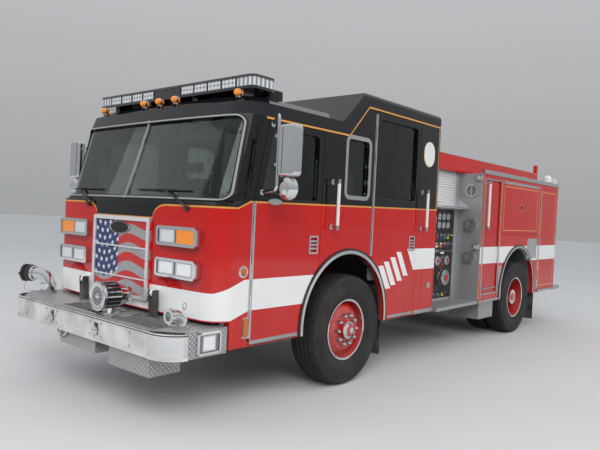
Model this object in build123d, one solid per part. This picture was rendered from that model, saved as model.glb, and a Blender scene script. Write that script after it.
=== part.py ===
from build123d import *
import os
from math import cos, pi, sin, sqrt

# A short-wheelbase pumper fire engine with a tilting custom cab. Millimetres, +Z up.
# The front faces -Y, the driver's side is +X, and the origin lies on the ground under the middle.

# Whole vehicle
WHEELBASE = 4250
FRONT_REACH = 2192        # front axle to the bumper's face
REAR_REACH = 2030         # rear axle to the tailboard's edge
LENGTH = FRONT_REACH + WHEELBASE + REAR_REACH
FRONT_AXLE = -LENGTH / 2 + FRONT_REACH
REAR_AXLE = FRONT_AXLE + WHEELBASE
CAB_HALF = 1220           # half the cab's width
BODY_STEP = 30            # how far the body stands out from the cab
BODY_HALF = CAB_HALF + BODY_STEP
PIN_FIT = 0.3             # clearance round pins and spindles
SHUT_GAP = 6              # gap round doors

# Wheels
TYRE_R = 538
TYRE_W = 314
BEAD_R = 287
RIM_FLANGE_R = 300
RIM_HALF = 117            # half the width between the rim's flanges
RIM_WALL = 9
STEER_TYRE_X = 1043
DUAL_OUTER_X = 1083
DUAL_INNER_X = 741
DUAL_W = 290
SPINDLE_R = 36
HUB_R = 88
STUD_PCD = 286
STUDS = 10
NUT_R = 18

# Front axle and steering
KINGPIN_X = 890
KINGPIN_R = 20
KINGPIN_HALF = 98
BOSS_R = 44
BOSS_HALF = 48
WEB = 28                  # thickness of the knuckle's web
BEAM_Z = 470

# Frame
RAIL_X = 432              # outside of each rail
RAIL_FLANGE = 85
RAIL_WALL = 10
RAIL_Z0 = 610
RAIL_Z1 = 870

# Bumper and its deck
BUMPER_Y = FRONT_AXLE - FRONT_REACH
BUMPER_Z0 = 560
BUMPER_Z1 = 752
BUMPER_HALF = CAB_HALF + 18
BUMPER_FLAT = 985         # half of the flat face
BUMPER_CORNER = 132       # how far the wing runs back
BUMPER_WALL = 8
DECK_REAR = FRONT_AXLE - 1640
WELLS = ((-335, 225, 440), (440, 965, 400))    # x0, x1 and floor of each hose well
EYE_X = (-440, 290)
RAIL_END = BUMPER_Y + 10
DECK_Z = 760
SIREN_X = 300
SIREN_Z = 922
SIREN_FINS = 14
SIREN_FLUTES = 18
DECK_WALL = 5

# Cab
CAB_FACE = FRONT_AXLE - 1806
CAB_BACK = FRONT_AXLE + 1628
CAB_SILL = 572            # bottom of the sides
CAB_CHIN = 790            # bottom of the front wall
CHIN_BACK = DECK_REAR + 30
CAB_WALL = 60
FLOOR_Z0 = 925
FLOOR_Z1 = 955
BACK_CUT_X = 640          # the back wall is open over the frame to this half width
BELT_Z = 1690             # where the windshield's surround starts
GLASS_Z0 = 1745
GLASS_Z1 = 2405
ROOF_Z = 2425             # top of the windshield's surround
ROOF_EDGE = 2535
ROOF_TOP = 2600
CAB_BOW = 36              # how far the front wall bows out
CORNER_LOW = 180
CORNER_MID = 330
CORNER_TOP = 235
FACE_TOP = FRONT_AXLE - 1572   # the front at ROOF_Z
RAISED_Z = 2880
RAISED_FOOT = FRONT_AXLE - 335
RAISED_HEAD = FRONT_AXLE + 75
GOLD_LOW = 2431           # paint and panel line over the front doors
GOLD_HIGH = 2748          # the same line over the rear doors
GOLD_FOOT = FRONT_AXLE - 163
GOLD_HEAD = FRONT_AXLE + 143
ARCH_Y = FRONT_AXLE - 90
ARCH_Z = 640
ARCH_R = 650              # opening of the cab's wheel arch
ARCH_BAND = 50
WHEEL_BOX = 14            # wall of the wheel box
STEER_ROOM = 690          # radius of the wheel box about the axle, for the steered tyre
TRIM_PROUD = 7            # window rubbers and strips stand this far out
TRIM_WIDE = 24
CAB_LOCKER_Y0 = FRONT_AXLE + 1337   # small locker behind the rear door, with its door shut
CAB_LOCKER_Z0 = 633
CAB_LOCKER_Z1 = 1193
PIVOT_Y = FRONT_AXLE - 1836
PIVOT_Z = 950
PIVOT_X = 545
MUFFLER_R = 115
PIVOT_R = 14

# Cab doors
DOOR_SILL = 583
HINGE_OUT = 6             # hinge axis outside the door's face
HINGE_R = 5.5
HINGE_PIN_R = 3
HINGE_LEAF = 2.5
HINGE_WIDE = 20           # width of each leaf
FRONT_HINGE = FRONT_AXLE - 1400
FRONT_DOOR_REAR = FRONT_AXLE - 545
REAR_HINGE = FRONT_AXLE + 285
REAR_DOOR_REAR = FRONT_AXLE + 1172
FRONT_DOOR_TOP = 2403
REAR_DOOR_TOP = 2722
PILLAR_LEAN = 138         # how far the front door's top corner sits behind its hinge

# Pump module
PUMP_Y0 = FRONT_AXLE + 1700
PUMP_Y1 = FRONT_AXLE + 2822
PUMP_HALF = 900
PUMP_WALL = 30
PANEL_Z0 = 600
PANEL_SPLIT = 1248
PANEL_Z1 = 1810
CROSSLAY_Z0 = 1850
LEDGE = 150               # the crosslay's ledge stands out this far
GUSSET = 130              # height of the bracket at its rear end
CROSSLAY_Z1 = 2345

# Body
BODY_Y0 = FRONT_AXLE + 2830
BODY_Y1 = REAR_AXLE + 1620
BODY_Z0 = 560
BODY_Z1 = 2300
BODY_SKIN = 20
BODY_INNER = 640          # inner wall of the compartments
BODY_ARCH_Y = REAR_AXLE - 50
BODY_ARCH_R = 645
TRIM_Z1 = 2355
FENDER_TOP = 1480
HATCH_Y0 = REAR_AXLE - 745
HATCH_Y1 = REAR_AXLE + 715
SHUTTER_Y0 = BODY_Y0 + 75
SHUTTER_Y1 = HATCH_Y0 - 85
REAR_DOOR_Y0 = HATCH_Y1 + 80
REAR_DOOR_Y1 = BODY_Y1 - 35
BED_Y1 = BODY_Y1 - 330    # rear end of the hose bed's side walls
HATCH_Z0 = 1495
COMPARTMENT_TOP = 2235
LOCKER_DOOR = 40          # thickness of a compartment door
LOCKER_SKIN = 40          # thickness of the walls beside the wheel well
FLAP = 10
FLAP_BEHIND = 80          # front flap behind the cab's arch opening
FLAP_TOP = 590
RING_R = 36               # lift-out ring of the hatch
TAIL_Y = LENGTH / 2
TAIL_Z = 600
TAIL_DOOR_X = 520         # half width of the rear locker's door
TAIL_DOOR_Z1 = 1560
BED_X = 1000
BED_WALL = 40
BED_Z1 = 2510


def box(x0, x1, y0, y1, z0, z1):
    """A box between two corners."""
    return Pos((x0 + x1) / 2, (y0 + y1) / 2, (z0 + z1) / 2) * Box(abs(x1 - x0), abs(y1 - y0), abs(z1 - z0))


def side_prism(points, x0, x1, radius=0):
    """A (y, z) outline, its corners rounded, from x0 to x1."""
    face = Polygon(*points, align=None)
    if radius:
        face = fillet(face.vertices(), radius)
    return extrude(Plane.YZ.offset(x0) * face, x1 - x0, dir=(1, 0, 0))


def front_prism(points, y0, y1, radius=0):
    """An (x, z) outline, its corners rounded, from y0 to y1."""
    face = Polygon(*points, align=None)
    if radius:
        face = fillet(face.vertices(), radius)
    return extrude(Plane.XZ.offset(-y0) * face, y1 - y0, dir=(0, 1, 0))


def plan_prism(points, z0, z1, radius=0):
    """An (x, y) outline, its corners rounded, from z0 to z1."""
    face = Polygon(*points, align=None)
    if radius:
        face = fillet(face.vertices(), radius)
    return extrude(Plane.XY.offset(z0) * face, z1 - z0, dir=(0, 0, 1))


def disc_x(x0, x1, y, z, radius):
    """A round bar along X."""
    return Pos((x0 + x1) / 2, y, z) * Rot(0, 90, 0) * Cylinder(radius, abs(x1 - x0))


def disc_y(y0, y1, x, z, radius):
    """A round bar along Y."""
    return Pos(x, (y0 + y1) / 2, z) * Rot(90, 0, 0) * Cylinder(radius, abs(y1 - y0))


def disc_z(z0, z1, x, y, radius):
    """A round bar along Z."""
    return Pos(x, y, (z0 + z1) / 2) * Cylinder(radius, abs(z1 - z0))


def other_side(shape):
    """The same piece on the vehicle's right."""
    return mirror(shape, about=Plane.YZ)


def both_sides(shape):
    """The piece and its mirror image, as one node."""
    return [shape, other_side(shape)]


def turned(points, y, z):
    """A closed (axial, radius) outline turned about a line along X."""
    face = make_face(Polyline(*points, close=True))
    return Pos(0, y, z) * revolve(face, Axis.X)


def piano_hinge(length, knuckles):
    """A hinge's fixed and moving halves, pin along Z from the origin, faces at x = -HINGE_OUT."""
    pitch = length / knuckles
    near = HINGE_OUT + 3
    fixed = box(-HINGE_OUT, HINGE_LEAF - HINGE_OUT, -HINGE_WIDE, -near, 0, length)
    moving = box(-HINGE_OUT, HINGE_LEAF - HINGE_OUT, near, HINGE_WIDE, 0, length)
    bore = disc_z(-5, length + 5, 0, 0, HINGE_PIN_R + PIN_FIT)
    for i in range(knuckles):
        z0, z1 = i * pitch + 0.5, (i + 1) * pitch - 0.5
        barrel = disc_z(z0, z1, 0, 0, HINGE_R)
        if i % 2:
            moving += barrel + box(-HINGE_OUT, 0, 1, near, z0, z1)
        else:
            fixed += barrel + box(-HINGE_OUT, 0, -near, -1, z0, z1)
    fixed += disc_z(0.5, length - 0.5, 0, 0, HINGE_PIN_R)
    return fixed, moving - bore


def turned_z(points, x, y):
    """A closed (radius, z) outline turned about an upright line."""
    face = make_face(Polyline(*[(r, 0, z) for r, z in points], close=True))
    return Pos(x, y, 0) * revolve(face, Axis.Z)


NODES = {}


def node(name, *shapes):
    """Collects the solids of one sub-part."""
    solids = []
    for shape in shapes:
        for part in (shape if isinstance(shape, (list, tuple)) else [shape]):
            solids += list(part.solids())
    NODES[name] = Compound(children=solids) if len(solids) > 1 else solids[0]


# Wheels and tyres


def tyre(x, width):
    """One tyre with a crowned tread and bulging walls, centred at x."""
    w = width / 2
    crown = TYRE_R - 8
    wall_out = [Line((RIM_HALF, BEAD_R), (RIM_HALF, BEAD_R + 14)),
                ThreePointArc((RIM_HALF, BEAD_R + 14), (w, 412), (w - 10, 506)),
                ThreePointArc((w - 10, 506), (w - 15, 521), (w - 28, crown))]
    wall_in = [mirror(edge, about=Plane.YZ) for edge in wall_out]
    tread = ThreePointArc((w - 28, crown), (0, TYRE_R), (28 - w, crown))
    base = Line((-RIM_HALF, BEAD_R), (RIM_HALF, BEAD_R))
    face = make_face(wall_out + wall_in + [tread, base])
    return Pos(x, 0, 0) * revolve(face, Axis.X)


def rim_barrel(x):
    """The rim's barrel with its two flanges, centred at x."""
    r = BEAD_R - PIN_FIT
    h = RIM_HALF + PIN_FIT
    return Pos(x, 0, 0) * turned([(-h, r), (h, r), (h, RIM_FLANGE_R), (h + 11, RIM_FLANGE_R), (h + 14, r + 4),
                                  (h + 6, r - RIM_WALL), (-h - 6, r - RIM_WALL), (-h - 14, r + 4),
                                  (-h - 11, RIM_FLANGE_R), (-h, RIM_FLANGE_R)], 0, 0)


def wheel_disc(x, dish, out):
    """The pressed disc from the barrel to the bolting face; dish is how far the face stands from the seat."""
    r = BEAD_R - PIN_FIT - RIM_WALL
    s = out
    return turned([(x, r + 4), (x + s * dish * 0.55, 238), (x + s * dish, 196),
                   (x + s * dish, SPINDLE_R + 30),
                   (x + s * (dish - 11), SPINDLE_R + 30), (x + s * (dish - 11), 190),
                   (x + s * (dish * 0.55 - 11), 231), (x - s * 11, r + 4)], 0, 0)


def studs(x):
    """The ring of nuts under tapered covers on the bolting face at x."""
    nuts = []
    for i in range(STUDS):
        a = 2 * pi * i / STUDS
        profile = [(x, 0), (x, NUT_R + 2), (x + 6, NUT_R), (x + 30, NUT_R - 2), (x + 44, NUT_R - 9),
                   (x + 46, 0)]
        nuts.append(turned(profile, STUD_PCD / 2 * cos(a), STUD_PCD / 2 * sin(a)))
    return nuts


def steer_rim():
    """The front wheel: its disc bulges out, with the hub and its cap in the middle."""
    face = STEER_TYRE_X + 108
    seat = face - 60
    rim = rim_barrel(STEER_TYRE_X) + wheel_disc(seat, face - seat, 1)
    back = KINGPIN_X + BOSS_R + 6 + WEB + 4
    hub = turned([(back, SPINDLE_R + PIN_FIT), (back, HUB_R + 18), (face - 20, HUB_R + 18),
                  (face + 2, HUB_R), (face + 46, HUB_R - 4), (face + 50, HUB_R - 20), (face + 74, HUB_R - 32),
                  (face + 84, 30), (face + 84, 0), (face + 36, 0), (face + 36, SPINDLE_R + PIN_FIT)], 0, 0)
    for nut in studs(face - 2):
        rim += nut
    return rim + hub


def dual_rim():
    """The rear pair: two barrels on one hub, the outer disc dished inwards."""
    face = (DUAL_OUTER_X + DUAL_INNER_X) / 2
    outer = rim_barrel(DUAL_OUTER_X) + wheel_disc(face + 70, 64, -1)
    inner = rim_barrel(DUAL_INNER_X) + wheel_disc(face - 70, 64, 1)
    end = DUAL_OUTER_X + 95
    hub = turned([(DUAL_INNER_X - 60, SPINDLE_R + 10 + PIN_FIT), (DUAL_INNER_X - 60, HUB_R + 30),
                  (face + 30, HUB_R + 30), (face + 60, HUB_R + 8), (end - 20, HUB_R + 4), (end - 20,
                                                                                           HUB_R + 22),
                  (end, HUB_R + 22), (end, HUB_R - 30), (end + 14, HUB_R - 36), (end + 14, 0),
                  (end - 40, 0), (end - 40, SPINDLE_R + 10 + PIN_FIT)], 0, 0)
    rim = outer + inner + hub
    for nut in studs(face + 6 - 2):
        rim += nut
    return rim


def knuckle():
    """The left steering knuckle: two ears on the kingpin, a spindle and a steering arm."""
    ear = BOSS_R + 2
    web_x = KINGPIN_X + BOSS_R + 6
    top = disc_z(TYRE_R + BOSS_HALF + 3, TYRE_R + BOSS_HALF + 40, KINGPIN_X, 0, ear)
    low = disc_z(TYRE_R - BOSS_HALF - 40, TYRE_R - BOSS_HALF - 3, KINGPIN_X, 0, ear)
    web = box(web_x, web_x + WEB, -ear, ear, TYRE_R - BOSS_HALF - 40, TYRE_R + BOSS_HALF + 40)
    bridge_top = box(KINGPIN_X, web_x + 10, -ear, ear, TYRE_R + BOSS_HALF + 3, TYRE_R + BOSS_HALF + 40)
    bridge_low = box(KINGPIN_X, web_x + 10, -ear, ear, TYRE_R - BOSS_HALF - 40, TYRE_R - BOSS_HALF - 3)
    spindle = disc_x(web_x + 10, STEER_TYRE_X + 108 + 30, 0, TYRE_R, SPINDLE_R)
    arm = plan_prism([(KINGPIN_X + 30, 20), (KINGPIN_X + 30, 60), (KINGPIN_X - 60, 230),
                      (KINGPIN_X - 95, 215),
                      (KINGPIN_X - 40, 20)], TYRE_R - BOSS_HALF - 40, TYRE_R - BOSS_HALF - 12)
    body = top + low + web + bridge_top + bridge_low + spindle + arm
    body -= disc_z(TYRE_R - 150, TYRE_R + 150, KINGPIN_X, 0, KINGPIN_R + PIN_FIT)
    return Pos(0, FRONT_AXLE, 0) * body


for side, sign in (("left", 1), ("right", -1)):
    place = Pos(0, FRONT_AXLE, TYRE_R)
    rear_place = Pos(0, REAR_AXLE, TYRE_R)
    pieces = {
        "tyre_front_" + side: place * tyre(STEER_TYRE_X, TYRE_W),
        "rim_front_" + side: place * steer_rim(),
        "knuckle_" + side: knuckle(),
        "tyre_rear_" + side: [rear_place * tyre(DUAL_OUTER_X, DUAL_W),
                              rear_place * tyre(DUAL_INNER_X, DUAL_W)],
        "rim_rear_" + side: rear_place * dual_rim(),
    }
    for name, shape in pieces.items():
        if sign < 0:
            shape = [other_side(s) for s in shape] if isinstance(shape, list) else other_side(shape)
        node(name, shape)


# Axles, frame and heavy masses


def front_axle():
    """A dropped beam with kingpins, on two leaf springs."""
    beam = front_prism([(-KINGPIN_X, TYRE_R - 34), (-KINGPIN_X, TYRE_R + 30), (-700, TYRE_R + 10),
                        (-560, BEAM_Z + 48), (560, BEAM_Z + 48), (700, TYRE_R + 10), (KINGPIN_X, TYRE_R + 30),
                        (KINGPIN_X, TYRE_R - 34), (720, TYRE_R - 60), (580, BEAM_Z - 48), (-580, BEAM_Z - 48),
                        (-720, TYRE_R - 60)], FRONT_AXLE - 40, FRONT_AXLE + 40)
    for s in (-1, 1):
        x = s * KINGPIN_X
        beam += disc_z(TYRE_R - BOSS_HALF, TYRE_R + BOSS_HALF, x, FRONT_AXLE, BOSS_R)
        beam += disc_z(TYRE_R - KINGPIN_HALF, TYRE_R + KINGPIN_HALF, x, FRONT_AXLE, KINGPIN_R)
        beam += leaf_spring(s, RAIL_X - RAIL_FLANGE, FRONT_AXLE, BEAM_Z + 48, 640, RAIL_Z0)
    return beam


def leaf_spring(s, x_in, axle_y, seat_z, half, hanger_top):
    """A stack of leaves that bows down to the seat, with eyes and hangers at the rail."""
    x0, x1 = sorted((s * x_in, s * (x_in + 80)))
    hang0, hang1 = sorted((s * max(x_in - 6, RAIL_X - RAIL_FLANGE), s * (x_in + 80)))
    eye_z = RAIL_Z0 - 30
    low = seat_z - 4
    leaves = side_prism([(axle_y - half, eye_z - 10), (axle_y - half, eye_z + 10),
                         (axle_y - half * 0.4, low + 44),
                         (axle_y, low + 34), (axle_y + half * 0.4, low + 44), (axle_y + half, eye_z + 10),
                         (axle_y + half, eye_z - 10), (axle_y + half * 0.7, low + 18), (axle_y + 120, low),
                         (axle_y - 120, low), (axle_y - half * 0.7, low + 18)], x0, x1)
    for end in (-1, 1):
        y = axle_y + end * half
        leaves += box(hang0, hang1, y - 30, y + 30, eye_z - 25, hanger_top)
    return leaves


def rear_axle():
    """The driven axle: a tube with its differential, springs and the drive shaft."""
    tube = disc_x(-560, 560, REAR_AXLE, TYRE_R, 66)
    tube += Pos(0, REAR_AXLE, TYRE_R) * Sphere(205)
    tube += disc_y(REAR_AXLE - 300, REAR_AXLE, 0, TYRE_R, 80)
    end = DUAL_OUTER_X + 48
    tube += disc_x(-end, end, REAR_AXLE, TYRE_R, SPINDLE_R + 10)
    for s in (-1, 1):
        tube += leaf_spring(s, RAIL_X + 6, REAR_AXLE, TYRE_R + 60, 700, RAIL_Z0 + 70)
    shaft_y = PUMP_Y0 + 560
    return tube + disc_y(shaft_y, REAR_AXLE - 290, 0, TYRE_R + 20, 55)


def frame_rails():
    """Two channel rails from the bumper to the tailboard, tied by cross members."""
    y0, y1 = RAIL_END, BODY_Y1
    rail = box(RAIL_X - RAIL_FLANGE, RAIL_X, y0, y1, RAIL_Z0, RAIL_Z1)
    rail -= box(RAIL_X - RAIL_FLANGE - 5, RAIL_X - RAIL_WALL, y0 - 5, y1 + 5, RAIL_Z0 + RAIL_WALL,
                RAIL_Z1 - RAIL_WALL)
    frame = rail + other_side(rail)
    inside = RAIL_X - RAIL_WALL / 2
    for y in (CHIN_BACK + 60, PUMP_Y0 + 60, REAR_AXLE - 900, REAR_AXLE + 700, y1 - 60):
        frame += box(-inside, inside, y - 30, y + 30, RAIL_Z0 + 20, RAIL_Z0 + 130)
    frame -= box(-600, 600, y0 - 5, CHIN_BACK - 16, DECK_Z - DECK_WALL, RAIL_Z1 + 5)
    frame += box(-RAIL_X - 36, RAIL_X, y0, y0 + 20, RAIL_Z0, DECK_Z - DECK_WALL - 20)
    for s in (-1, 1):
        x = s * PIVOT_X
        post = side_prism([(CAB_FACE + 60, RAIL_Z0 + 60), (CAB_FACE - 40, RAIL_Z0 + 60),
                           (CAB_FACE - 62, PIVOT_Z - 20), (CAB_FACE - 62, PIVOT_Z + 26), (CAB_FACE - 6,
                                                                                          PIVOT_Z + 26),
                           (CAB_FACE - 6, DECK_Z - DECK_WALL), (CAB_FACE + 60,
                                                                DECK_Z - DECK_WALL)], x - 34, x + 34, 4)
        tie_x0, tie_x1 = sorted((s * (RAIL_X - 5), x - s * 30))
        tie = box(tie_x0, tie_x1, CAB_FACE - 36, CAB_FACE + 56, RAIL_Z0 + 62, DECK_Z - DECK_WALL)
        slot = box(x - 21, x + 21, CAB_FACE - 90, CAB_FACE + 30, PIVOT_Z - 45, PIVOT_Z + 45)
        frame += post - slot + tie
        frame += disc_x(x - 30, x + 30, PIVOT_Y, PIVOT_Z, PIVOT_R)
    return frame


def engine():
    """The engine under the cab's tunnel, as one plain block."""
    top = front_prism([(-330, 1000), (-250, 1340), (250, 1340), (330, 1000), (330, 700), (200, 640),
                       (-200, 640), (-330, 700)], FRONT_AXLE - 980, FRONT_AXLE + 560)
    gearbox = box(-220, 220, FRONT_AXLE + 560, FRONT_AXLE + 1250, 640, 900)
    engine_block = top + gearbox
    for y in (FRONT_AXLE - 700, FRONT_AXLE + 300):
        shelf = RAIL_X - RAIL_WALL - 10
        engine_block += box(-shelf, shelf, y - 60, y + 60, RAIL_Z0 + RAIL_WALL, RAIL_Z0 + 100)
    return engine_block


def exhaust():
    """The pipe down from the engine, the muffler outside the right rail and the outlet to the side."""
    x_in, x_out, y_in, y_box, y_end, z = -150, -700, FRONT_AXLE + 430, FRONT_AXLE + 860, FRONT_AXLE + 1520, 470
    runs = ([(x_in, y_in, 640), (x_in, y_in, z), (x_in, y_box - 130, z), (x_out, y_box - 130, z),
             (x_out, y_box + 20, z)],
            [(x_out, y_end - 20, z), (x_out, y_end + 100, z), (-CAB_HALF + 30, y_end + 100, z)])
    part = disc_y(y_box, y_end, x_out, z, MUFFLER_R)
    part = fillet(part.edges(), 28)
    for run in runs:
        path = FilletPolyline(*run, radius=85)
        pipe = sweep(Plane(path @ 0, z_dir=path % 0) * Circle(45), path=path)
        part += pipe
    tip = -CAB_HALF + 30
    part -= disc_x(tip - 5, tip + 160, y_end + 100, z, 41)
    for y in (y_box + 110, y_end - 150):
        band = disc_y(y, y + 40, x_out, z, MUFFLER_R + 5)
        arm = box(x_out - 20, -RAIL_X, y, y + 40, RAIL_Z0 + 20, RAIL_Z0 + 30)
        arm += box(x_out - 20, x_out + 20, y, y + 40, z, RAIL_Z0 + 30)
        part += band + arm
    return part


node("exhaust", exhaust())
node("front_axle", front_axle())
node("rear_axle", rear_axle())
node("frame_rails", frame_rails())
node("engine", engine())
node("water_tank", box(-590, 590, BODY_Y0 + 40, BODY_Y1 - 60, RAIL_Z1, 2240))


# Bumper, deck and what stands on it


def bumper_plan(inset):
    """The bumper's plan: flat face, curved wings and short returns, open to the rear."""
    y = BUMPER_Y + inset
    flat = BUMPER_FLAT
    half = BUMPER_HALF - inset
    back = BUMPER_Y + BUMPER_CORNER
    bend = ((flat + half) / 2 + (half - flat) * 0.21, (y + back) / 2 - (back - y) * 0.21)
    return [Line((-flat, y), (flat, y)),
            ThreePointArc((flat, y), bend, (half, back)),
            Line((half, back), (half, back + 40)),
            Line((half, back + 40), (-half, back + 40)),
            Line((-half, back + 40), (-half, back)),
            ThreePointArc((-half, back), (-bend[0], bend[1]), (-flat, y))]


def bumper():
    """The chrome bumper: a rolled face with ribs top and bottom, and two tow eyes."""
    outer = extrude(Plane.XY.offset(BUMPER_Z0) * make_face(bumper_plan(0)), BUMPER_Z1 - BUMPER_Z0)
    inner = extrude(Plane.XY.offset(BUMPER_Z0 - 1) * make_face(bumper_plan(BUMPER_WALL)),
                    BUMPER_Z1 - BUMPER_Z0 + 2)
    skin = outer - inner
    for z in (BUMPER_Z0, BUMPER_Z1 - 22):
        rib = extrude(Plane.XY.offset(z) * make_face(bumper_plan(-9)), 22)
        skin += rib - inner
    eyes = []
    for x in EYE_X:
        skin -= box(x - 34, x + 34, BUMPER_Y - 20, BUMPER_Y + 20, BUMPER_Z0 + 52, BUMPER_Z0 + 146)
        eyes.append(tow_eye(x))
    return [skin, *eyes]


def tow_eye(x):
    """A ball-ended tow eye on a block that is bolted to the frame's front plate."""
    z = BUMPER_Z0 + 88
    stem = box(x - 20, x + 20, BUMPER_Y - 10, RAIL_END, z - 24, z + 24)
    return stem + Pos(x, BUMPER_Y - 16, z - 6) * Sphere(24)


def deck():
    """The treadplate deck with its sides, and three hose wells that hang below."""
    front = BUMPER_Y + BUMPER_CORNER + 40
    half = BUMPER_HALF - BUMPER_WALL
    top = plan_prism([(-half, front), (-half, DECK_REAR), (half, DECK_REAR), (half, front),
                      (BUMPER_FLAT, BUMPER_Y + BUMPER_WALL), (-BUMPER_FLAT, BUMPER_Y + BUMPER_WALL)],
                     DECK_Z - DECK_WALL, DECK_Z)
    part = top
    for s in (-1, 1):
        x = s * PIVOT_X
        part -= box(x - 36, x + 36, CAB_FACE - 66, CAB_FACE - 2, DECK_Z - 20, DECK_Z + 5)
        x0, x1 = sorted((s * half, s * (half - DECK_WALL)))
        part += box(x0, x1, front, DECK_REAR, BUMPER_Z0, DECK_Z)
        x0, x1 = sorted((s * half, s * (half - 330)))
        part += box(x0, x1, DECK_REAR - DECK_WALL, DECK_REAR, BUMPER_Z0 + 60, DECK_Z)
    for x0, x1, low in WELLS:
        y0, y1 = BUMPER_Y + 40, CAB_FACE - 70
        part += box(x0 - DECK_WALL, x1 + DECK_WALL, y0 - DECK_WALL, y1 + DECK_WALL, low, DECK_Z)
        part -= box(x0, x1, y0, y1, low + DECK_WALL, DECK_Z + 5)
    return part


def siren():
    """A coaster siren: a round face of fins and rings, a fluted drum and a bullet tail, on a foot."""
    x, z, y = SIREN_X, SIREN_Z, BUMPER_Y - 8
    profile = [(y, 0), (y, 86), (y - 6, 106), (y - 2, 118), (y + 22, 120), (y + 26, 108), (y + 158, 106),
               (y + 166, 98), (y + 240, 84), (y + 290, 58), (y + 312, 30), (y + 316, 0)]
    face = make_face(Polyline(*[(p, r) for p, r in profile], close=True))
    body = Pos(x, 0, z) * Rot(0, 0, 90) * revolve(face, Axis.X)
    grille_depth = 12
    body -= disc_y(y - 10, y + grille_depth, x, z, 78) - disc_y(y - 10, y + 20, x, z, 26)
    for i in range(SIREN_FINS):
        blade = Box(66, 12, 3)
        body += Pos(x, y + grille_depth / 2 + 1, z) * Rot(0, 360 * i / SIREN_FINS, 0) * Pos(50, 0, 0) * blade
    for i in range(SIREN_FLUTES):
        flute = Pos(x, y + 95, z) * Rot(0, 360 * i / SIREN_FLUTES, 0) * Pos(106, 0, 0) * Box(12, 124, 9)
        body += flute
    foot = disc_z(DECK_Z, z - 60, x, y + 130, 34) + disc_z(DECK_Z, DECK_Z + 12, x, y + 130, 62)
    return body + foot


def elbow(x, y, z0, rise, radius, reach, sx, sy, throat):
    """A pipe that rises from the deck, turns a quarter circle and points along (sx, sy)."""
    bend = radius * 1.55
    path = FilletPolyline((x, y, z0), (x, y, z0 + rise), (x + sx * reach, y + sy * reach, z0 + rise),
                          radius=bend)
    outer = sweep(Plane((x, y, z0), z_dir=(0, 0, 1)) * Circle(radius), path=path)
    end = Plane((x + sx * reach, y + sy * reach, z0 + rise), z_dir=(sx, sy, 0))
    collar = extrude(end.offset(-30) * Circle(radius + 14), 30)
    base = disc_z(z0, z0 + 16, x, y, radius + 22)
    return outer + collar + base - extrude(end.offset(-throat) * Circle(radius - 8), throat + 5)


def front_pipes():
    """The big intake elbow on the right end and the small discharge elbow on the left."""
    intake = elbow(-1110, BUMPER_Y + 290, DECK_Z, 178, 60, 175, -0.86, -0.51, 60)
    discharge = elbow(1070, BUMPER_Y + 242, DECK_Z, 100, 42, 130, 0, -1, 50)
    return [intake, discharge]


def suction_cap():
    """The ribbed black cap on the intake, with two long lugs."""
    end = Plane((-1110 - 0.86 * 175.3, BUMPER_Y + 290 - 0.51 * 175.3, DECK_Z + 178), z_dir=(-0.86, -0.51, 0))
    cap = extrude(end * Circle(82), 26) + extrude(end.offset(26) * Circle(74), 60)
    return cap + extrude(end.offset(60) * Circle(86), 22)


def towing_loop():
    """The round bar loop that hangs below the bumper from the frame's front plate."""
    x0, x1, y, r = -376, -197, RAIL_END + 10, 10
    mid, reach = (x0 + x1) / 2, (x1 - x0) / 2
    low = BUMPER_Z0 + 30
    path = Wire([Line((x0, y, RAIL_Z0), (x0, y, low)),
                 ThreePointArc((x0, y, low), (mid, y, low - reach), (x1, y, low)),
                 Line((x1, y, low), (x1, y, RAIL_Z0))])
    return sweep(Plane((x0, y, RAIL_Z0), z_dir=(0, 0, -1)) * Circle(r), path=path)


def side_lamp():
    """The bezel of the lamp on the deck's left side, and the lamp inside it."""
    x = BUMPER_HALF - BUMPER_WALL
    y0, y1, z0, z1 = FRONT_AXLE - 1937, FRONT_AXLE - 1705, 574, 748
    outline = [(y0, z0), (y0, z1), (y1, z1), (y1, z0)]
    bezel = side_prism(outline, x, x + 16, 26)
    inner = [(y0 + 20, z0 + 20), (y0 + 20, z1 - 20), (y1 - 20, z1 - 20), (y1 - 20, z0 + 20)]
    bezel -= side_prism(inner, x - 5, x + 20, 12)
    lamp = side_prism([(y0 + 24, z0 + 24), (y0 + 24, z1 - 24), (y1 - 24, z1 - 24), (y1 - 24, z0 + 24)], x,
                      x + 10, 10)
    return bezel, lamp


side_bezel, side_lens = side_lamp()
node("front_bumper", bumper(), both_sides(side_bezel), towing_loop())
node("bumper_lamps", both_sides(side_lens))
node("bumper_deck", deck())
node("siren", siren())
node("front_pipes", front_pipes())
node("suction_cap", suction_cap())


# Cab


def cab_plan(z, front, corner, inset=0, half=CAB_HALF):
    """The cab's plan at height z: a bowed front, round corners, straight sides and back."""
    side = half - inset
    yf = front + inset
    yb = yf + CAB_BOW
    r = max(corner - inset, 20)
    k = r * (1 - sqrt(0.5))
    back = CAB_BACK - inset
    edges = [ThreePointArc((r - side, yb), (0, yf), (side - r, yb)),
             ThreePointArc((side - r, yb), (side - k, yb + k), (side, yb + r)),
             Line((side, yb + r), (side, back)),
             Line((side, back), (-side, back)),
             Line((-side, back), (-side, yb + r)),
             ThreePointArc((-side, yb + r), (k - side, yb + k), (r - side, yb))]
    return Plane.XY.offset(z) * make_face(edges)


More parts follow.
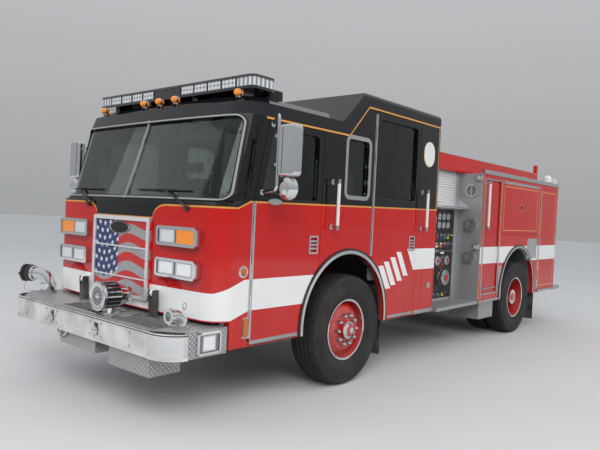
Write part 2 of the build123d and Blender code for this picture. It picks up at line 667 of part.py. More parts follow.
def cab_volume(inset, bottom):
    """The cab's whole outer form, or its hollow when inset."""
    drop = inset and 50
    low = extrude(cab_plan(bottom, CAB_FACE, CORNER_LOW, inset), BELT_Z - bottom)
    belt = loft([cab_plan(BELT_Z, CAB_FACE, CORNER_LOW, inset),
                 cab_plan(GLASS_Z0 - 15, CAB_FACE + 4, CORNER_MID, inset)],
                ruled=True)
    glass = loft([cab_plan(GLASS_Z0 - 15, CAB_FACE + 4, CORNER_MID, inset),
                  cab_plan(ROOF_Z, FACE_TOP, CORNER_TOP, inset)],
                 ruled=True)
    fascia = loft([cab_plan(ROOF_Z, FACE_TOP, CORNER_TOP, inset),
                   cab_plan(ROOF_EDGE - drop, FACE_TOP + 40, CORNER_TOP, inset)], ruled=True)
    crown = loft([cab_plan(ROOF_EDGE - drop, FACE_TOP + 40, CORNER_TOP, inset),
                  cab_plan(ROOF_TOP - drop, FACE_TOP + 150, CORNER_TOP, inset, CAB_HALF - 110)], ruled=True)
    raised = side_prism([(RAISED_FOOT, ROOF_EDGE - 60), (RAISED_HEAD + inset, RAISED_Z - 12 - inset),
                         (RAISED_HEAD + 60 + inset, RAISED_Z - inset), (CAB_BACK - inset, RAISED_Z - inset),
                         (CAB_BACK - inset, ROOF_EDGE - 60)], inset - CAB_HALF, CAB_HALF - inset)
    if not inset:
        top = raised.edges().filter_by(Axis.X, reverse=True).group_by(Axis.Z)[-1].filter_by(Axis.Y)
        raised = fillet(top, 62)
    return low + belt + glass + fascia + crown + raised


def front_door_outline(gap):
    """The front door in (y, z), grown by a gap."""
    return [(FRONT_HINGE - gap, DOOR_SILL - gap), (FRONT_HINGE - gap, 1745),
            (FRONT_HINGE + PILLAR_LEAN - gap, FRONT_DOOR_TOP + gap), (FRONT_DOOR_REAR + gap,
                                                                      FRONT_DOOR_TOP + gap),
            (FRONT_DOOR_REAR + gap, DOOR_SILL - gap)]


def rear_door_outline(gap):
    """The rear door in (y, z), grown by a gap."""
    return [(REAR_HINGE - gap, DOOR_SILL - gap), (REAR_HINGE - gap, REAR_DOOR_TOP + gap),
            (REAR_DOOR_REAR + gap, REAR_DOOR_TOP + gap), (REAR_DOOR_REAR + gap, DOOR_SILL - gap)]


def arch_cutter(radius, x0, x1):
    """The round of the cab's wheel arch."""
    return disc_x(x0, x1, ARCH_Y, ARCH_Z, radius) + box(x0, x1, ARCH_Y - radius, ARCH_Y + radius, 300, ARCH_Z)


FRONT_WINDOW = [(FRONT_AXLE - 1318, 1775), (FRONT_AXLE - 1196, 2345), (FRONT_AXLE - 610, 2345),
                (FRONT_AXLE - 610, 1775)]
REAR_WINDOW = [(FRONT_AXLE + 350, 1850), (FRONT_AXLE + 350, 2650), (FRONT_AXLE + 1110, 2650),
               (FRONT_AXLE + 1110, 1850)]
SIDE_WINDOW = [(FRONT_AXLE - 190, 1845), (FRONT_AXLE - 190, 2395), (FRONT_AXLE + 170, 2395),
               (FRONT_AXLE + 170, 1845)]
WINDSHIELD = [(-1165, GLASS_Z0), (-1150, GLASS_Z1), (1150, GLASS_Z1), (1165, GLASS_Z0)]
GRILLE_X = 430
GRILLE_Z0 = 868
GRILLE_Z1 = 1560

outer_cab = cab_volume(0, CAB_SILL)
hollow_cab = cab_volume(CAB_WALL, CAB_SILL - 10)
skin = outer_cab - hollow_cab
gold = side_prism([(CAB_FACE - 300, GOLD_LOW), (GOLD_FOOT, GOLD_LOW), (GOLD_HEAD, GOLD_HIGH),
                   (CAB_BACK + 100, GOLD_HIGH), (CAB_BACK + 100, 3200), (CAB_FACE - 300, 3200)],
                  -CAB_HALF - 100, CAB_HALF + 100)


def cab_shell():
    """Front wall, sides and back of the cab up to the gold line, with its openings."""
    shell = skin - gold
    shell -= box(-2000, 2000, CAB_FACE - 100, CHIN_BACK, 300, CAB_CHIN)
    shell -= box(-BACK_CUT_X, BACK_CUT_X, CAB_BACK - 300, CAB_BACK + 50, 300, FLOOR_Z0)
    shell -= front_prism(WINDSHIELD, CAB_FACE - 100, FRONT_HINGE - 44, 60)
    shell -= box(-GRILLE_X + 40, GRILLE_X - 40, CAB_FACE - 100, CAB_FACE + 150, GRILLE_Z0 + 30,
                 GRILLE_Z1 - 40)
    for s in (-1, 1):
        x0, x1 = sorted((s * (CAB_HALF - 120), s * (CAB_HALF + 60)))
        arch_x0, arch_x1 = sorted((s * (CAB_HALF - 660), s * (CAB_HALF + 60)))
        shell -= side_prism(front_door_outline(SHUT_GAP), x0, x1, 12) - arch_cutter(ARCH_R + ARCH_BAND,
                                                                                    x0 - 5, x1 + 5)
        shell -= side_prism(rear_door_outline(SHUT_GAP), x0, x1, 12) - arch_cutter(ARCH_R + ARCH_BAND, x0 - 5,
                                                                                   x1 + 5)
        shell -= side_prism(SIDE_WINDOW, x0, x1, 45)
        shell -= arch_cutter(ARCH_R, arch_x0, arch_x1)
        shell -= box(x0, x1, CAB_BACK - 300, CAB_BACK + 50, 300, CAB_SILL)
        seam = box(x0, x1, CAB_LOCKER_Y0, CAB_BACK - 22, CAB_LOCKER_Z0, CAB_LOCKER_Z1)
        seam -= box(x0 - 5, x1 + 5, CAB_LOCKER_Y0 + SHUT_GAP, CAB_BACK - 22 - SHUT_GAP,
                    CAB_LOCKER_Z0 + SHUT_GAP,
                    CAB_LOCKER_Z1 - SHUT_GAP)
        face0, face1 = sorted((s * (CAB_HALF - 4), s * (CAB_HALF + 5)))
        shell -= seam & box(face0, face1, CAB_LOCKER_Y0 - 5, CAB_BACK, 500, 1300)
        knob0, knob1 = sorted((s * (CAB_HALF - 2), s * (CAB_HALF + 8)))
        shell += disc_x(knob0, knob1, FRONT_AXLE + 1498, 890, 36) - disc_x(
            s * (CAB_HALF + 8) - 6, s * (CAB_HALF + 8) + 6, FRONT_AXLE + 1498, 890, 24)
    ears = []
    for s in (-1, 1):
        x = s * PIVOT_X
        ear = side_prism([(CAB_FACE + 60, PIVOT_Z - 40), (PIVOT_Y, PIVOT_Z - 32), (PIVOT_Y, PIVOT_Z + 32),
                          (CAB_FACE + 60, PIVOT_Z + 40)], x - 16, x + 16)
        ear += disc_x(x - 16, x + 16, PIVOT_Y, PIVOT_Z, 32)
        shell += ear
        shell -= disc_x(x - 40, x + 40, PIVOT_Y, PIVOT_Z, PIVOT_R + PIN_FIT)
    return shell


def latch(slab, x, y0, y1, z0, z1):
    """A recessed pull in a door's face: a rimmed plate, its pocket and the paddle's bars."""
    plate = box(x - 1, x + 6, y0, y1, z0, z1)
    slab += fillet(plate.edges().filter_by(Axis.X), 12)
    slab -= box(x - 18, x + 10, y0 + 16, y1 - 16, z0 + 16, z1 - 16)
    pitch = (z1 - z0 - 32) / 4
    for i in range(3):
        z = z0 + 16 + (i + 0.75) * pitch
        slab += box(x - 20, x + 1, y0 + 14, y1 - 14, z, z + pitch / 2)
    return slab


def door(outline, window):
    """A left door as thick as the cab's side, with its window and the wheel arch cut."""
    x0, x1 = CAB_HALF - CAB_WALL, CAB_HALF
    slab = side_prism(outline, x0, x1, 6)
    slab -= arch_cutter(ARCH_R + ARCH_BAND + SHUT_GAP, x0 - 5, x1 + 5)
    slab -= side_prism(window, x0 - 5, x1 + 5, 45)
    y = outline[-1][0]
    return latch(slab, CAB_HALF, y - 155, y - 30, 1299, 1462)


def door_glass(window):
    """The pane of a door's window, in the middle of its thickness."""
    grown = Polygon(*window, align=None)
    pane = fillet(grown.vertices(), 45)
    return extrude(Plane.YZ.offset(CAB_HALF - 34) * offset(pane, -0.3), 6, dir=(1, 0, 0))


def mirror_left():
    """The left mirror: a bracket loop off the door, a tall head and a round convex glass below it."""
    y = FRONT_AXLE - 1400
    x = CAB_HALF + 250
    feet = ((FRONT_AXLE - 1330, 1812), (FRONT_AXLE - 1235, 2372))
    loop = FilletPolyline((CAB_HALF + 10, *feet[0]), (x - 70, FRONT_AXLE - 1345, 1830),
                          (x - 70, FRONT_AXLE - 1345, 2440), (CAB_HALF + 10, *feet[1]), radius=40)
    start = loop @ 0
    arm = sweep(Plane(start, z_dir=loop % 0) * Circle(13), path=loop)
    for y_foot, z_foot in feet:
        arm += disc_x(CAB_HALF, CAB_HALF + 14, y_foot, z_foot, 24)
    head = box(x, x + 200, y - 34, y + 32, 1930, 2330)
    head = fillet(head.edges().filter_by(Axis.Y), 40)
    head = fillet(head.edges().group_by(Axis.Y)[0], 22)
    stub_top = disc_x(x - 75, x + 20, FRONT_AXLE - 1345, 2250, 9) + disc_x(x - 75, x + 20, FRONT_AXLE - 1345,
                                                                           2030, 9)
    bowl = make_face(Polyline((0, -46), (50, -40), (80, -22), (92, 4), (92, 16), (0, 16), close=True))
    ball = Pos(x + 100, y, 1842) * revolve(bowl, Axis.Y)
    neck = disc_z(1842, 1960, x + 100, y + 2, 11)
    link = box(x - 80, x + 40, FRONT_AXLE - 1372, FRONT_AXLE - 1340, 2240, 2262) + box(
        x - 80, x + 40, FRONT_AXLE - 1372, FRONT_AXLE - 1340, 2018, 2040)
    return arm + head + stub_top + link + ball + neck


ARCH_AT_HINGE = ARCH_Z + sqrt((ARCH_R + ARCH_BAND) ** 2 - (REAR_HINGE - ARCH_Y) ** 2)
FRONT_HINGE_Z = (DOOR_SILL + 30, 1735)
REAR_HINGE_Z = (ARCH_AT_HINGE + 30, REAR_DOOR_TOP - 30)
door_hinges = []
for y, (z0, z1), knuckles in ((FRONT_HINGE, FRONT_HINGE_Z, 9), (REAR_HINGE, REAR_HINGE_Z, 11)):
    halves = piano_hinge(z1 - z0, knuckles)
    door_hinges.append([Pos(CAB_HALF + HINGE_OUT, y, z0) * half for half in halves])

node("cab_shell", cab_shell())
roof_unit = box(-1037, 1037, FRONT_AXLE - 1095, FRONT_AXLE - 900, ROOF_TOP, 2710)
roof_unit = fillet(roof_unit.edges().filter_by(Axis.Z), 50)
roof_unit = fillet(roof_unit.edges().group_by(Axis.Z)[-1], 14)
node("cab_roof", (skin & gold) + roof_unit)

front_door = door(front_door_outline(0), FRONT_WINDOW) + door_hinges[0][1]
rear_door = door(rear_door_outline(0), REAR_WINDOW) + door_hinges[1][1]
for side, flip in (("left", lambda s: s), ("right", other_side)):
    node("door_front_" + side, flip(front_door))
    node("door_rear_" + side, flip(rear_door))
    node("door_glass_front_" + side, flip(door_glass(FRONT_WINDOW)))
    node("door_glass_rear_" + side, flip(door_glass(REAR_WINDOW)))
    node("mirror_" + side, flip(mirror_left()))


def cab_glass():
    """The curved windshield in two halves, and the small fixed side windows."""
    pane = cab_volume(20, CAB_SILL) - cab_volume(28, CAB_SILL)
    opening = offset(fillet(Polygon(*WINDSHIELD, align=None).vertices(), 60), -0.3)
    opening = extrude(Plane.XZ.offset(-(FRONT_HINGE - 44.3)) * opening, 600, dir=(0, -1, 0))
    screen = pane & opening
    screen -= box(-8, 8, CAB_FACE - 100, CAB_FACE + 600, GLASS_Z0 - 50, GLASS_Z1 + 50)
    side = door_glass(SIDE_WINDOW)
    return [*screen.solids(), side, other_side(side)]


def wheel_box(x0, x1, wall):
    """The wheel box: the arch's opening, and more room behind it for the steered tyre."""
    room = Pos(0, FRONT_AXLE - ARCH_Y, 0) * arch_cutter(STEER_ROOM + wall, x0, x1)
    return arch_cutter(ARCH_R + 2 + wall, x0, x1) + room


def cab_floor():
    """Floor pans with step wells, the wheel boxes and the engine tunnel."""
    half = CAB_HALF - CAB_WALL - 1
    y0, y1 = CAB_FACE + CAB_WALL + CAB_BOW + 130, CAB_BACK - CAB_WALL
    z0, z1 = FLOOR_Z0, FLOOR_Z1
    pan = box(-half, half, y0, y1, z0, z1)
    for s in (-1, 1):
        for a, b in ((FRONT_HINGE + 10, ARCH_Y - ARCH_R - 60), (ARCH_Y + ARCH_R + 140, REAR_DOOR_REAR + 20)):
            x0, x1 = sorted((s * (half - 300), s * half))
            pan += box(x0, x1, a, b, 600, z1)
            inner, outer = sorted((s * (half - 290), s * (half + 10)))
            pan -= box(inner, outer, a + 10, b - 10, 612, z1 + 5)
        x0, x1 = sorted((s * (CAB_HALF - 650), s * half))
        pan += wheel_box(x0, x1, WHEEL_BOX) & box(x0, x1, ARCH_Y - 900, ARCH_Y + 900, 600, 1400)
        x0, x1 = sorted((s * (CAB_HALF - 640), s * (half + 10)))
        pan -= wheel_box(x0, x1, 0)
    pan += box(-450, 450, FRONT_AXLE - 1150, FRONT_AXLE + 780, z0, 1440)
    pan -= box(-430, 430, FRONT_AXLE - 1130, FRONT_AXLE + 760, z0 - 400, 1420)
    return pan


def grille():
    """The framed grille: a stout frame, a backing plate and two cross bars."""
    y0, y1 = CAB_FACE - 26, CAB_FACE + 30
    frame = front_prism([(-GRILLE_X, GRILLE_Z0), (-GRILLE_X, GRILLE_Z1), (GRILLE_X, GRILLE_Z1),
                         (GRILLE_X, GRILLE_Z0)], y0, y1, 14) - outer_cab
    frame -= box(-GRILLE_X + 34, GRILLE_X - 34, y0 - 5, y1 + 5, GRILLE_Z0 + 26, GRILLE_Z1 - 34)
    plate = box(-GRILLE_X + 32, GRILLE_X - 32, CAB_FACE - 12, CAB_FACE - 4, GRILLE_Z0 + 24, GRILLE_Z1 - 32)
    part = frame + plate
    for z in (1035, 1297):
        part += box(-GRILLE_X + 32, GRILLE_X - 32, y0 + 4, CAB_FACE - 8, z - 6, z + 6)
    return part


LAMP_X0 = 538
LAMP_X1 = 1042
LAMP_ROWS = ((1098, 1250), (1350, 1508))


def lamp_bezel(z0, z1, depth):
    """A rounded chrome bezel, open for its two lamps."""
    shape = front_prism([(LAMP_X0, z0), (LAMP_X0, z1), (LAMP_X1, z1), (LAMP_X1, z0)], CAB_FACE - depth,
                        CAB_FACE + 34, 28)
    shape -= front_prism([(LAMP_X0 + 24, z0 + 20), (LAMP_X0 + 24, z1 - 20), (LAMP_X1 - 24, z1 - 20),
                          (LAMP_X1 - 24, z0 + 20)],
                         CAB_FACE - depth - 5, CAB_FACE - 14, 16)
    return shape - outer_cab


def lamps_left(z0, z1, depth):
    """Two rectangular lamps side by side in their bezel."""
    mid = (LAMP_X0 + LAMP_X1) / 2
    out = []
    for x0, x1 in ((LAMP_X0 + 30, mid - 6), (mid + 6, LAMP_X1 - 30)):
        out.append(box(x0, x1, CAB_FACE - depth + 8, CAB_FACE - 14, z0 + 26, z1 - 26))
    return out


bezels, lamps = [], []
for z0, z1 in LAMP_ROWS:
    bezels += both_sides(lamp_bezel(z0, z1, 30))
    for lamp in lamps_left(z0, z1, 30):
        lamps += both_sides(lamp)
bullet = make_face(Polyline((0, 0), (16, 3), (26, 12), (32, 28), (32, 66), (24, 78), (0, 84), close=True))
bullet = revolve(bullet, Axis.Y)
for x in (-1000, -235, 0, 235, 1000):
    y, z = FACE_TOP + (60 if abs(x) < 900 else 110), ROOF_TOP + 16
    marker = Pos(x, y, z) * bullet + box(x - 10, x + 10, y + 36, y + 70, ROOF_TOP - 25, z)
    lamps.append(marker - outer_cab)


def lightbar():
    """The full-width warning bar: a base on four feet, with ten lens modules and a lid."""
    y0, y1, half = FRONT_AXLE - 1400, FRONT_AXLE - 1120, 1145
    base = box(-half, half, y0, y1, 2650, 2674)
    lid = box(-half, half, y0, y1, 2748, 2765)
    bar = fillet(base.edges().filter_by(Axis.Z), 60) + fillet(lid.edges().filter_by(Axis.Z), 60)
    core = box(8 - half, half - 8, y0 + 8, y1 - 8, 2674, 2748)
    bar += fillet(core.edges().filter_by(Axis.Z), 52)
    for x in (-940, -740, -560, -380, -200, 200, 380, 560, 740, 940):
        bar -= box(x - 5, x + 5, y0 - 5, y0 + 22, 2674, 2748) + box(x - 5, x + 5, y1 - 22, y1 + 5, 2674, 2748)
    for x in (-900, -350, 350, 900):
        bar += box(x - 30, x + 30, y0 + 60, y1 - 60, ROOF_TOP, 2655)
    return bar


def dashboard():
    """The dash from the front wall to the wheel."""
    dash = side_prism([(CAB_FACE + 20, 1300), (CAB_FACE + 20, 1640), (CAB_FACE + 360, 1690),
                       (CAB_FACE + 470, 1580), (CAB_FACE + 430, 1330)], -CAB_HALF + 130, CAB_HALF - 130)
    return dash & hollow_cab


COLUMN_TOP = (600, FRONT_AXLE - 1130, 1580)
COLUMN_LEAN = -28
WHEEL_HUB = 34


def steering_wheel():
    """Rim, three spokes and hub, leaning on the column."""
    wheel = Torus(222, 15) + Cylinder(42, WHEEL_HUB)
    for a in (90, 210, 330):
        wheel += Rot(0, 0, a) * Pos(115, 0, 0) * Box(220, 34, 12)
    return Pos(*COLUMN_TOP) * Rot(COLUMN_LEAN, 0, 0) * wheel


def column():
    """The steering column from the floor to just under the wheel."""
    long = 900
    post = Pos(*COLUMN_TOP) * Rot(COLUMN_LEAN, 0, 0) * Pos(0, 0,
                                                           -WHEEL_HUB / 2 - PIN_FIT - long / 2) * Cylinder(36,
                                                                                                           long)
    x, y, z = COLUMN_TOP
    return post & box(x - 100, x + 100, y - 700, y + 100, FLOOR_Z1, z)


def seat(x, y, z):
    """One seat: cushion, high back and head rest."""
    cushion = box(x - 240, x + 240, y - 260, y + 200, z, z + 130)
    back = side_prism([(y + 130, z + 100), (y + 190, z + 800), (y + 290, z + 800), (y + 250, z + 100)],
                      x - 235, x + 235, 20)
    pedestal = box(x - 200, x + 200, y - 180, y + 200, FLOOR_Z1, z)
    pedestal -= wheel_box(x - 210, x + 210, WHEEL_BOX)
    return cushion + back + pedestal


screen_parts = cab_glass()
node("cab_glass", screen_parts)
node("cab_floor", cab_floor())
node("grille", grille())
node("lamp_bezels", bezels)
node("cab_lamps", lamps)
node("lightbar", lightbar())
node("dashboard", dashboard() + column())
node("steering_wheel", steering_wheel())
seats = []
for s in (-1, 1):
    seats.append(seat(s * 780, FRONT_AXLE - 620, 1400))
    seats.append(seat(s * 760, FRONT_AXLE + 1180, 1330))
node("seats", seats)


def rail(x, y, z0, z1, side):
    """A vertical hand rail on two stand-offs."""
    bar = disc_z(z0, z1, x, y, 16)
    for z in (z0 + 25, z1 - 25):
        bar += disc_x(side, x, y, z, 12) + disc_x(side, side + 8, y, z, 26)
    return bar


def arch_band(y, z, radius, x, low):
    """The bright band round a wheel arch."""
    ring = disc_x(x, x + 14, y, z, radius + ARCH_BAND) - disc_x(x - 5, x + 20, y, z, radius)
    return ring & box(x - 5, x + 20, y - 900, y + 900, low, z + 900)


cab_rails = []
for y in (FRONT_AXLE - 398, FRONT_AXLE + 1262):
    cab_rails += both_sides(rail(CAB_HALF + 78, y, 1520, 1985, CAB_HALF))
cab_rails += both_sides(arch_band(ARCH_Y, ARCH_Z, ARCH_R, CAB_HALF, CAB_SILL + 4))


def windshield_trim():
    """The rubber and bright strip round the windshield, and its centre bar."""
    proud = cab_volume(-TRIM_PROUD, CAB_SILL) - outer_cab
    opening = fillet(Polygon(*WINDSHIELD, align=None).vertices(), 60)
    ring = offset(opening, TRIM_WIDE) - opening
    reach = extrude(Plane.XZ.offset(-(FRONT_HINGE - 60)) * ring, 600, dir=(0, -1, 0))
    bar = box(-14, 14, CAB_FACE - 100, CAB_FACE + 600, GLASS_Z0, GLASS_Z1)
    bar &= cab_volume(6, CAB_SILL) - cab_volume(30, CAB_SILL)
    return [proud & reach, bar - screen_parts[0] - screen_parts[1]]


def side_window_trim():
    """The bright frame of the fixed side window."""
    pane = fillet(Polygon(*SIDE_WINDOW, align=None).vertices(), 45)
    ring = offset(pane, 34) - offset(pane, -6)
    return extrude(Plane.YZ.offset(CAB_HALF) * ring, 9, dir=(1, 0, 0))


cab_rails += windshield_trim() + both_sides(side_window_trim())
for fixed, moving in door_hinges:
    cab_rails += both_sides(fixed)
node("cab_rails", cab_rails)


# Pump module


def pump_module():
    """The pump house between cab and body, with the ribbed covers of its cross-lay hose beds."""
    z0, z1 = PANEL_Z0, BODY_Z1
    house = box(-PUMP_HALF, PUMP_HALF, PUMP_Y0, PUMP_Y1, z0, z1)
    house -= box(-PUMP_HALF + PUMP_WALL, PUMP_HALF - PUMP_WALL, PUMP_Y0 + PUMP_WALL, PUMP_Y1 - PUMP_WALL,
                 z0 - 5, z1 - 40)
    for x0, x1 in ((-RAIL_X - 8, -RAIL_X + 95), (RAIL_X - 95, RAIL_X + 8)):
        house -= box(x0, x1, PUMP_Y0 - 5, PUMP_Y1 + 5, z0 - 5, RAIL_Z1 + 8)
    house -= box(-120, 120, PUMP_Y0 - 5, PUMP_Y1 + 5, z0 - 5, 720)
    for s in (-1, 1):
        x0, x1 = sorted((s * PUMP_HALF, s * (PUMP_HALF + 12)))
        house += box(x0, x1, PUMP_Y0, PUMP_Y1, CROSSLAY_Z0, CROSSLAY_Z1 - 45)
        rib0, rib1 = sorted((s * (PUMP_HALF + 10), s * (PUMP_HALF + 22)))
        for i in range(12):
            z = CROSSLAY_Z0 + 20 + i * 36
            house += box(rib0, rib1, PUMP_Y0 + 8, PUMP_Y1 - 8, z, z + 24)
        shelf0, shelf1 = sorted((s * PUMP_HALF, s * (PUMP_HALF + LEDGE)))
        house += box(shelf0, shelf1, PUMP_Y0, PUMP_Y1, CROSSLAY_Z0 - 36, CROSSLAY_Z0)
        low, high = CROSSLAY_Z0, CROSSLAY_Z0 + GUSSET
        tri = [(s * PUMP_HALF, low), (s * (PUMP_HALF + LEDGE), low), (s * PUMP_HALF, high)]
        house += front_prism(tri, PUMP_Y1 - 12, PUMP_Y1 - 4)
    return house


def pump_panels():
    """The black operator's panels on both sides, upper and lower."""
    panels = []
    for s in (-1, 1):
        x0, x1 = sorted((s * PUMP_HALF, s * (PUMP_HALF + 10)))
        panels.append(box(x0, x1, PUMP_Y0 + 20, PUMP_Y1 - 130, PANEL_Z0 + 30, PANEL_SPLIT - 10))
        panels.append(box(x0, x1, PUMP_Y0 + 20, PUMP_Y1 - 130, PANEL_SPLIT + 10, PANEL_Z1 - 10))
    return panels


GAUGES = (                # y from the panel's front, z, radius, depth
    (190, 1655, 74, 34), (390, 1655, 74, 34),
    (560, 1700, 46, 26), (680, 1700, 46, 26), (800, 1700, 46, 26),
    (560, 1590, 46, 26), (680, 1590, 46, 26), (800, 1590, 46, 26),
    (110, 1500, 38, 22), (220, 1500, 38, 22), (330, 1500, 38, 22), (440, 1500, 38, 22),
)
OUTLETS = (               # y from the panel's front, z, neck radius, cap radius
    (230, 1130, 44, 62), (470, 1130, 44, 62), (720, 1130, 44, 62), (270, 900, 44, 62),
)
PULLS = (                 # y from the panel's front, z
    (560, 1460), (660, 1460), (760, 1460), (860, 1460), (560, 1350), (660, 1350), (760, 1350), (860, 1350),
    (110, 1350), (220, 1350), (330, 1350), (440, 1350),
)
DRAINS = 7


def capped_outlet(x, y, z, neck, cap):
    """A threaded neck with its ribbed cap and two lugs."""
    part = turned([(x, 0), (x, neck + 22), (x + 12, neck + 22), (x + 12, neck), (x + 44, neck), (x + 44, cap),
                   (x + 74, cap), (x + 84, cap - 12), (x + 84, 0)], y, z)
    for s in (-1, 1):
        part += box(x + 50, x + 72, y + s * (cap + 8) - 12, y + s * (cap + 8) + 12, z - 9, z + 9)
    return part


def pump_fittings():
    """Gauges, capped outlets, pull handles, the big suction with its cap and the row of drain valves."""
    x = PUMP_HALF + 10
    parts = []
    for y, z, r, depth in GAUGES:
        parts.append(turned([(x, 0), (x, r), (x + depth, r), (x + depth, r - 8), (x + depth - 7, r - 10),
                             (x + depth - 7, 0)], PUMP_Y0 + y, z))
    for y, z, neck, cap in OUTLETS:
        parts.append(capped_outlet(x, PUMP_Y0 + y, z, neck, cap))
    for y, z in PULLS:
        rod = disc_x(x, x + 46, PUMP_Y0 + y, z, 7) + disc_x(x, x + 6, PUMP_Y0 + y, z, 24)
        parts.append(rod + box(x + 40, x + 60, PUMP_Y0 + y - 30, PUMP_Y0 + y + 30, z - 11, z + 11))
    parts.append(capped_outlet(x, PUMP_Y0 + 700, 905, 84, 106))
    for i in range(DRAINS):
        y = PUMP_Y0 + 150 + i * 105
        parts.append(disc_x(x, x + 34, y, 700, 9) + box(x + 28, x + 40, y - 24, y + 24, 694, 706))
    return [p for q in parts for p in both_sides(q)]


def running_boards():
    """The side steps below the pump panels."""
    board = box(PUMP_HALF, BODY_HALF, PUMP_Y0, PUMP_Y1, BODY_Z0, PANEL_Z0)
    board -= box(PUMP_HALF - 5, BODY_HALF - 6, PUMP_Y0 + 6, PUMP_Y1 - 6, BODY_Z0 - 5, PANEL_Z0 - 6)
    return both_sides(board)


node("pump_module", pump_module())
node("pump_panels", pump_panels())
node("pump_fittings", pump_fittings())
node("running_boards", running_boards())


# Body


def body_side():
    """The left side: three lockers over a wheel well, with its skin, floors and walls."""
    block = box(BODY_INNER - BODY_SKIN, BODY_HALF, BODY_Y0, BODY_Y1, BODY_Z0, BODY_Z1)
    depth = BODY_HALF + 20
    block -= box(BODY_INNER, depth, SHUTTER_Y0, SHUTTER_Y1, BODY_Z0 + 130, COMPARTMENT_TOP)
    block -= box(BODY_INNER, depth, HATCH_Y0, HATCH_Y1, HATCH_Z0, COMPARTMENT_TOP)
    block -= box(BODY_INNER, depth, REAR_DOOR_Y0, REAR_DOOR_Y1, BODY_Z0 + 45, COMPARTMENT_TOP)
    well = box(BODY_INNER - 60, BODY_HALF - BODY_SKIN, SHUTTER_Y1 + LOCKER_SKIN, REAR_DOOR_Y0 - LOCKER_SKIN,
               BODY_Z0 - 5, FENDER_TOP - 20)
    liner = disc_x(BODY_INNER - 60, BODY_HALF, BODY_ARCH_Y, ARCH_Z, BODY_ARCH_R + 12)
    liner += box(BODY_INNER - 60, BODY_HALF, BODY_ARCH_Y - BODY_ARCH_R - 12, BODY_ARCH_Y + BODY_ARCH_R + 12,
                 BODY_Z0, ARCH_Z)
    block -= well - liner
    cut = disc_x(0, BODY_HALF + 20, BODY_ARCH_Y, ARCH_Z, BODY_ARCH_R)
    cut += box(0, BODY_HALF + 20, BODY_ARCH_Y - BODY_ARCH_R, BODY_ARCH_Y + BODY_ARCH_R, 300, ARCH_Z)
    return block - cut


def locker_door(y0, y1, z0, z1):
    """A flush pan door for a locker."""
    g = SHUT_GAP / 2
    return box(BODY_HALF - LOCKER_DOOR, BODY_HALF, y0 + g, y1 - g, z0 + g, z1 - g)


def ring_pull(slab, y, z):
    """A round pocket in a hatch with a bright rim and a lift-out ring."""
    slab += disc_x(BODY_HALF - 1, BODY_HALF + 4, y, z, RING_R + 20)
    slab -= disc_x(BODY_HALF - 14, BODY_HALF + 5, y, z, RING_R + 10)
    return slab + Pos(BODY_HALF - 9, y, z) * Rot(0, 90, 0) * Torus(RING_R, 5.5)


hatch_hinge = [Pos(BODY_HALF + HINGE_OUT, HATCH_Y0 + 20, COMPARTMENT_TOP) * Rot(-90, 0, 0) * half
               for half in piano_hinge(HATCH_Y1 - HATCH_Y0 - 40, 11)]
locker_hinge = [Pos(BODY_HALF + HINGE_OUT, REAR_DOOR_Y0, BODY_Z0 + 65) * half
                for half in piano_hinge(COMPARTMENT_TOP - BODY_Z0 - 85, 11)]


def shutter():
    """The slatted roll-up door of the front locker, in its guides."""
    x = BODY_HALF - 34
    part = box(x, x + 16, SHUTTER_Y0, SHUTTER_Y1, BODY_Z0 + 130, COMPARTMENT_TOP)
    n = 36
    pitch = (COMPARTMENT_TOP - BODY_Z0 - 190) / n
    for i in range(n):
        z = BODY_Z0 + 160 + i * pitch
        part += box(x + 14, x + 22, SHUTTER_Y0 + 12, SHUTTER_Y1 - 12, z, z + pitch - 8)
    return part


def hose_bed():
    """The red walls of the hose bed, its floor, and the post at each rear corner."""
    y0, y1 = PUMP_Y0 + 20, BED_Y1
    bed = box(-BED_X, BED_X, y0, y1, BODY_Z1, BED_Z1)
    bed -= box(-BED_X + BED_WALL, BED_X - BED_WALL, y0 + BED_WALL, y1 + 5, BODY_Z1 + 14, BED_Z1 + 5)
    for s in (-1, 1):
        x0, x1 = sorted((s * (BED_X - 55), s * BED_X))
        bed += box(x0, x1, y1 - 55, y1, BODY_Z1, 2650)
    return bed


def body_treadplate():
    """The treadplate walls at the body's front and back, and the tailboard."""
    plate = BODY_Y0 - PUMP_Y1
    front = box(PUMP_HALF, BODY_HALF, PUMP_Y1, BODY_Y0, BODY_Z0, BODY_Z1)
    back = box(-BODY_HALF, BODY_HALF, BODY_Y1, BODY_Y1 + plate, BODY_Z0, BODY_Z1)
    board = box(-BODY_HALF + 12, BODY_HALF - 12, BODY_Y1 + plate, TAIL_Y, BODY_Z0 - 10, TAIL_Z)
    board = fillet(board.edges().filter_by(Axis.Z).group_by(Axis.Y)[-1], 60)
    y = BODY_Y1 + plate
    panel = front_prism([(-TAIL_DOOR_X, TAIL_Z + 60), (-TAIL_DOOR_X, TAIL_DOOR_Z1),
                         (TAIL_DOOR_X, TAIL_DOOR_Z1),
                         (TAIL_DOOR_X, TAIL_Z + 60)], y - 1, y + 12, 30)
    grip = box(-70, 70, y, y + 46, 1060, 1084) - box(-52, 52, y + 12, y + 30, 1055, 1090)
    return [front, other_side(front), back + panel + grip, board]


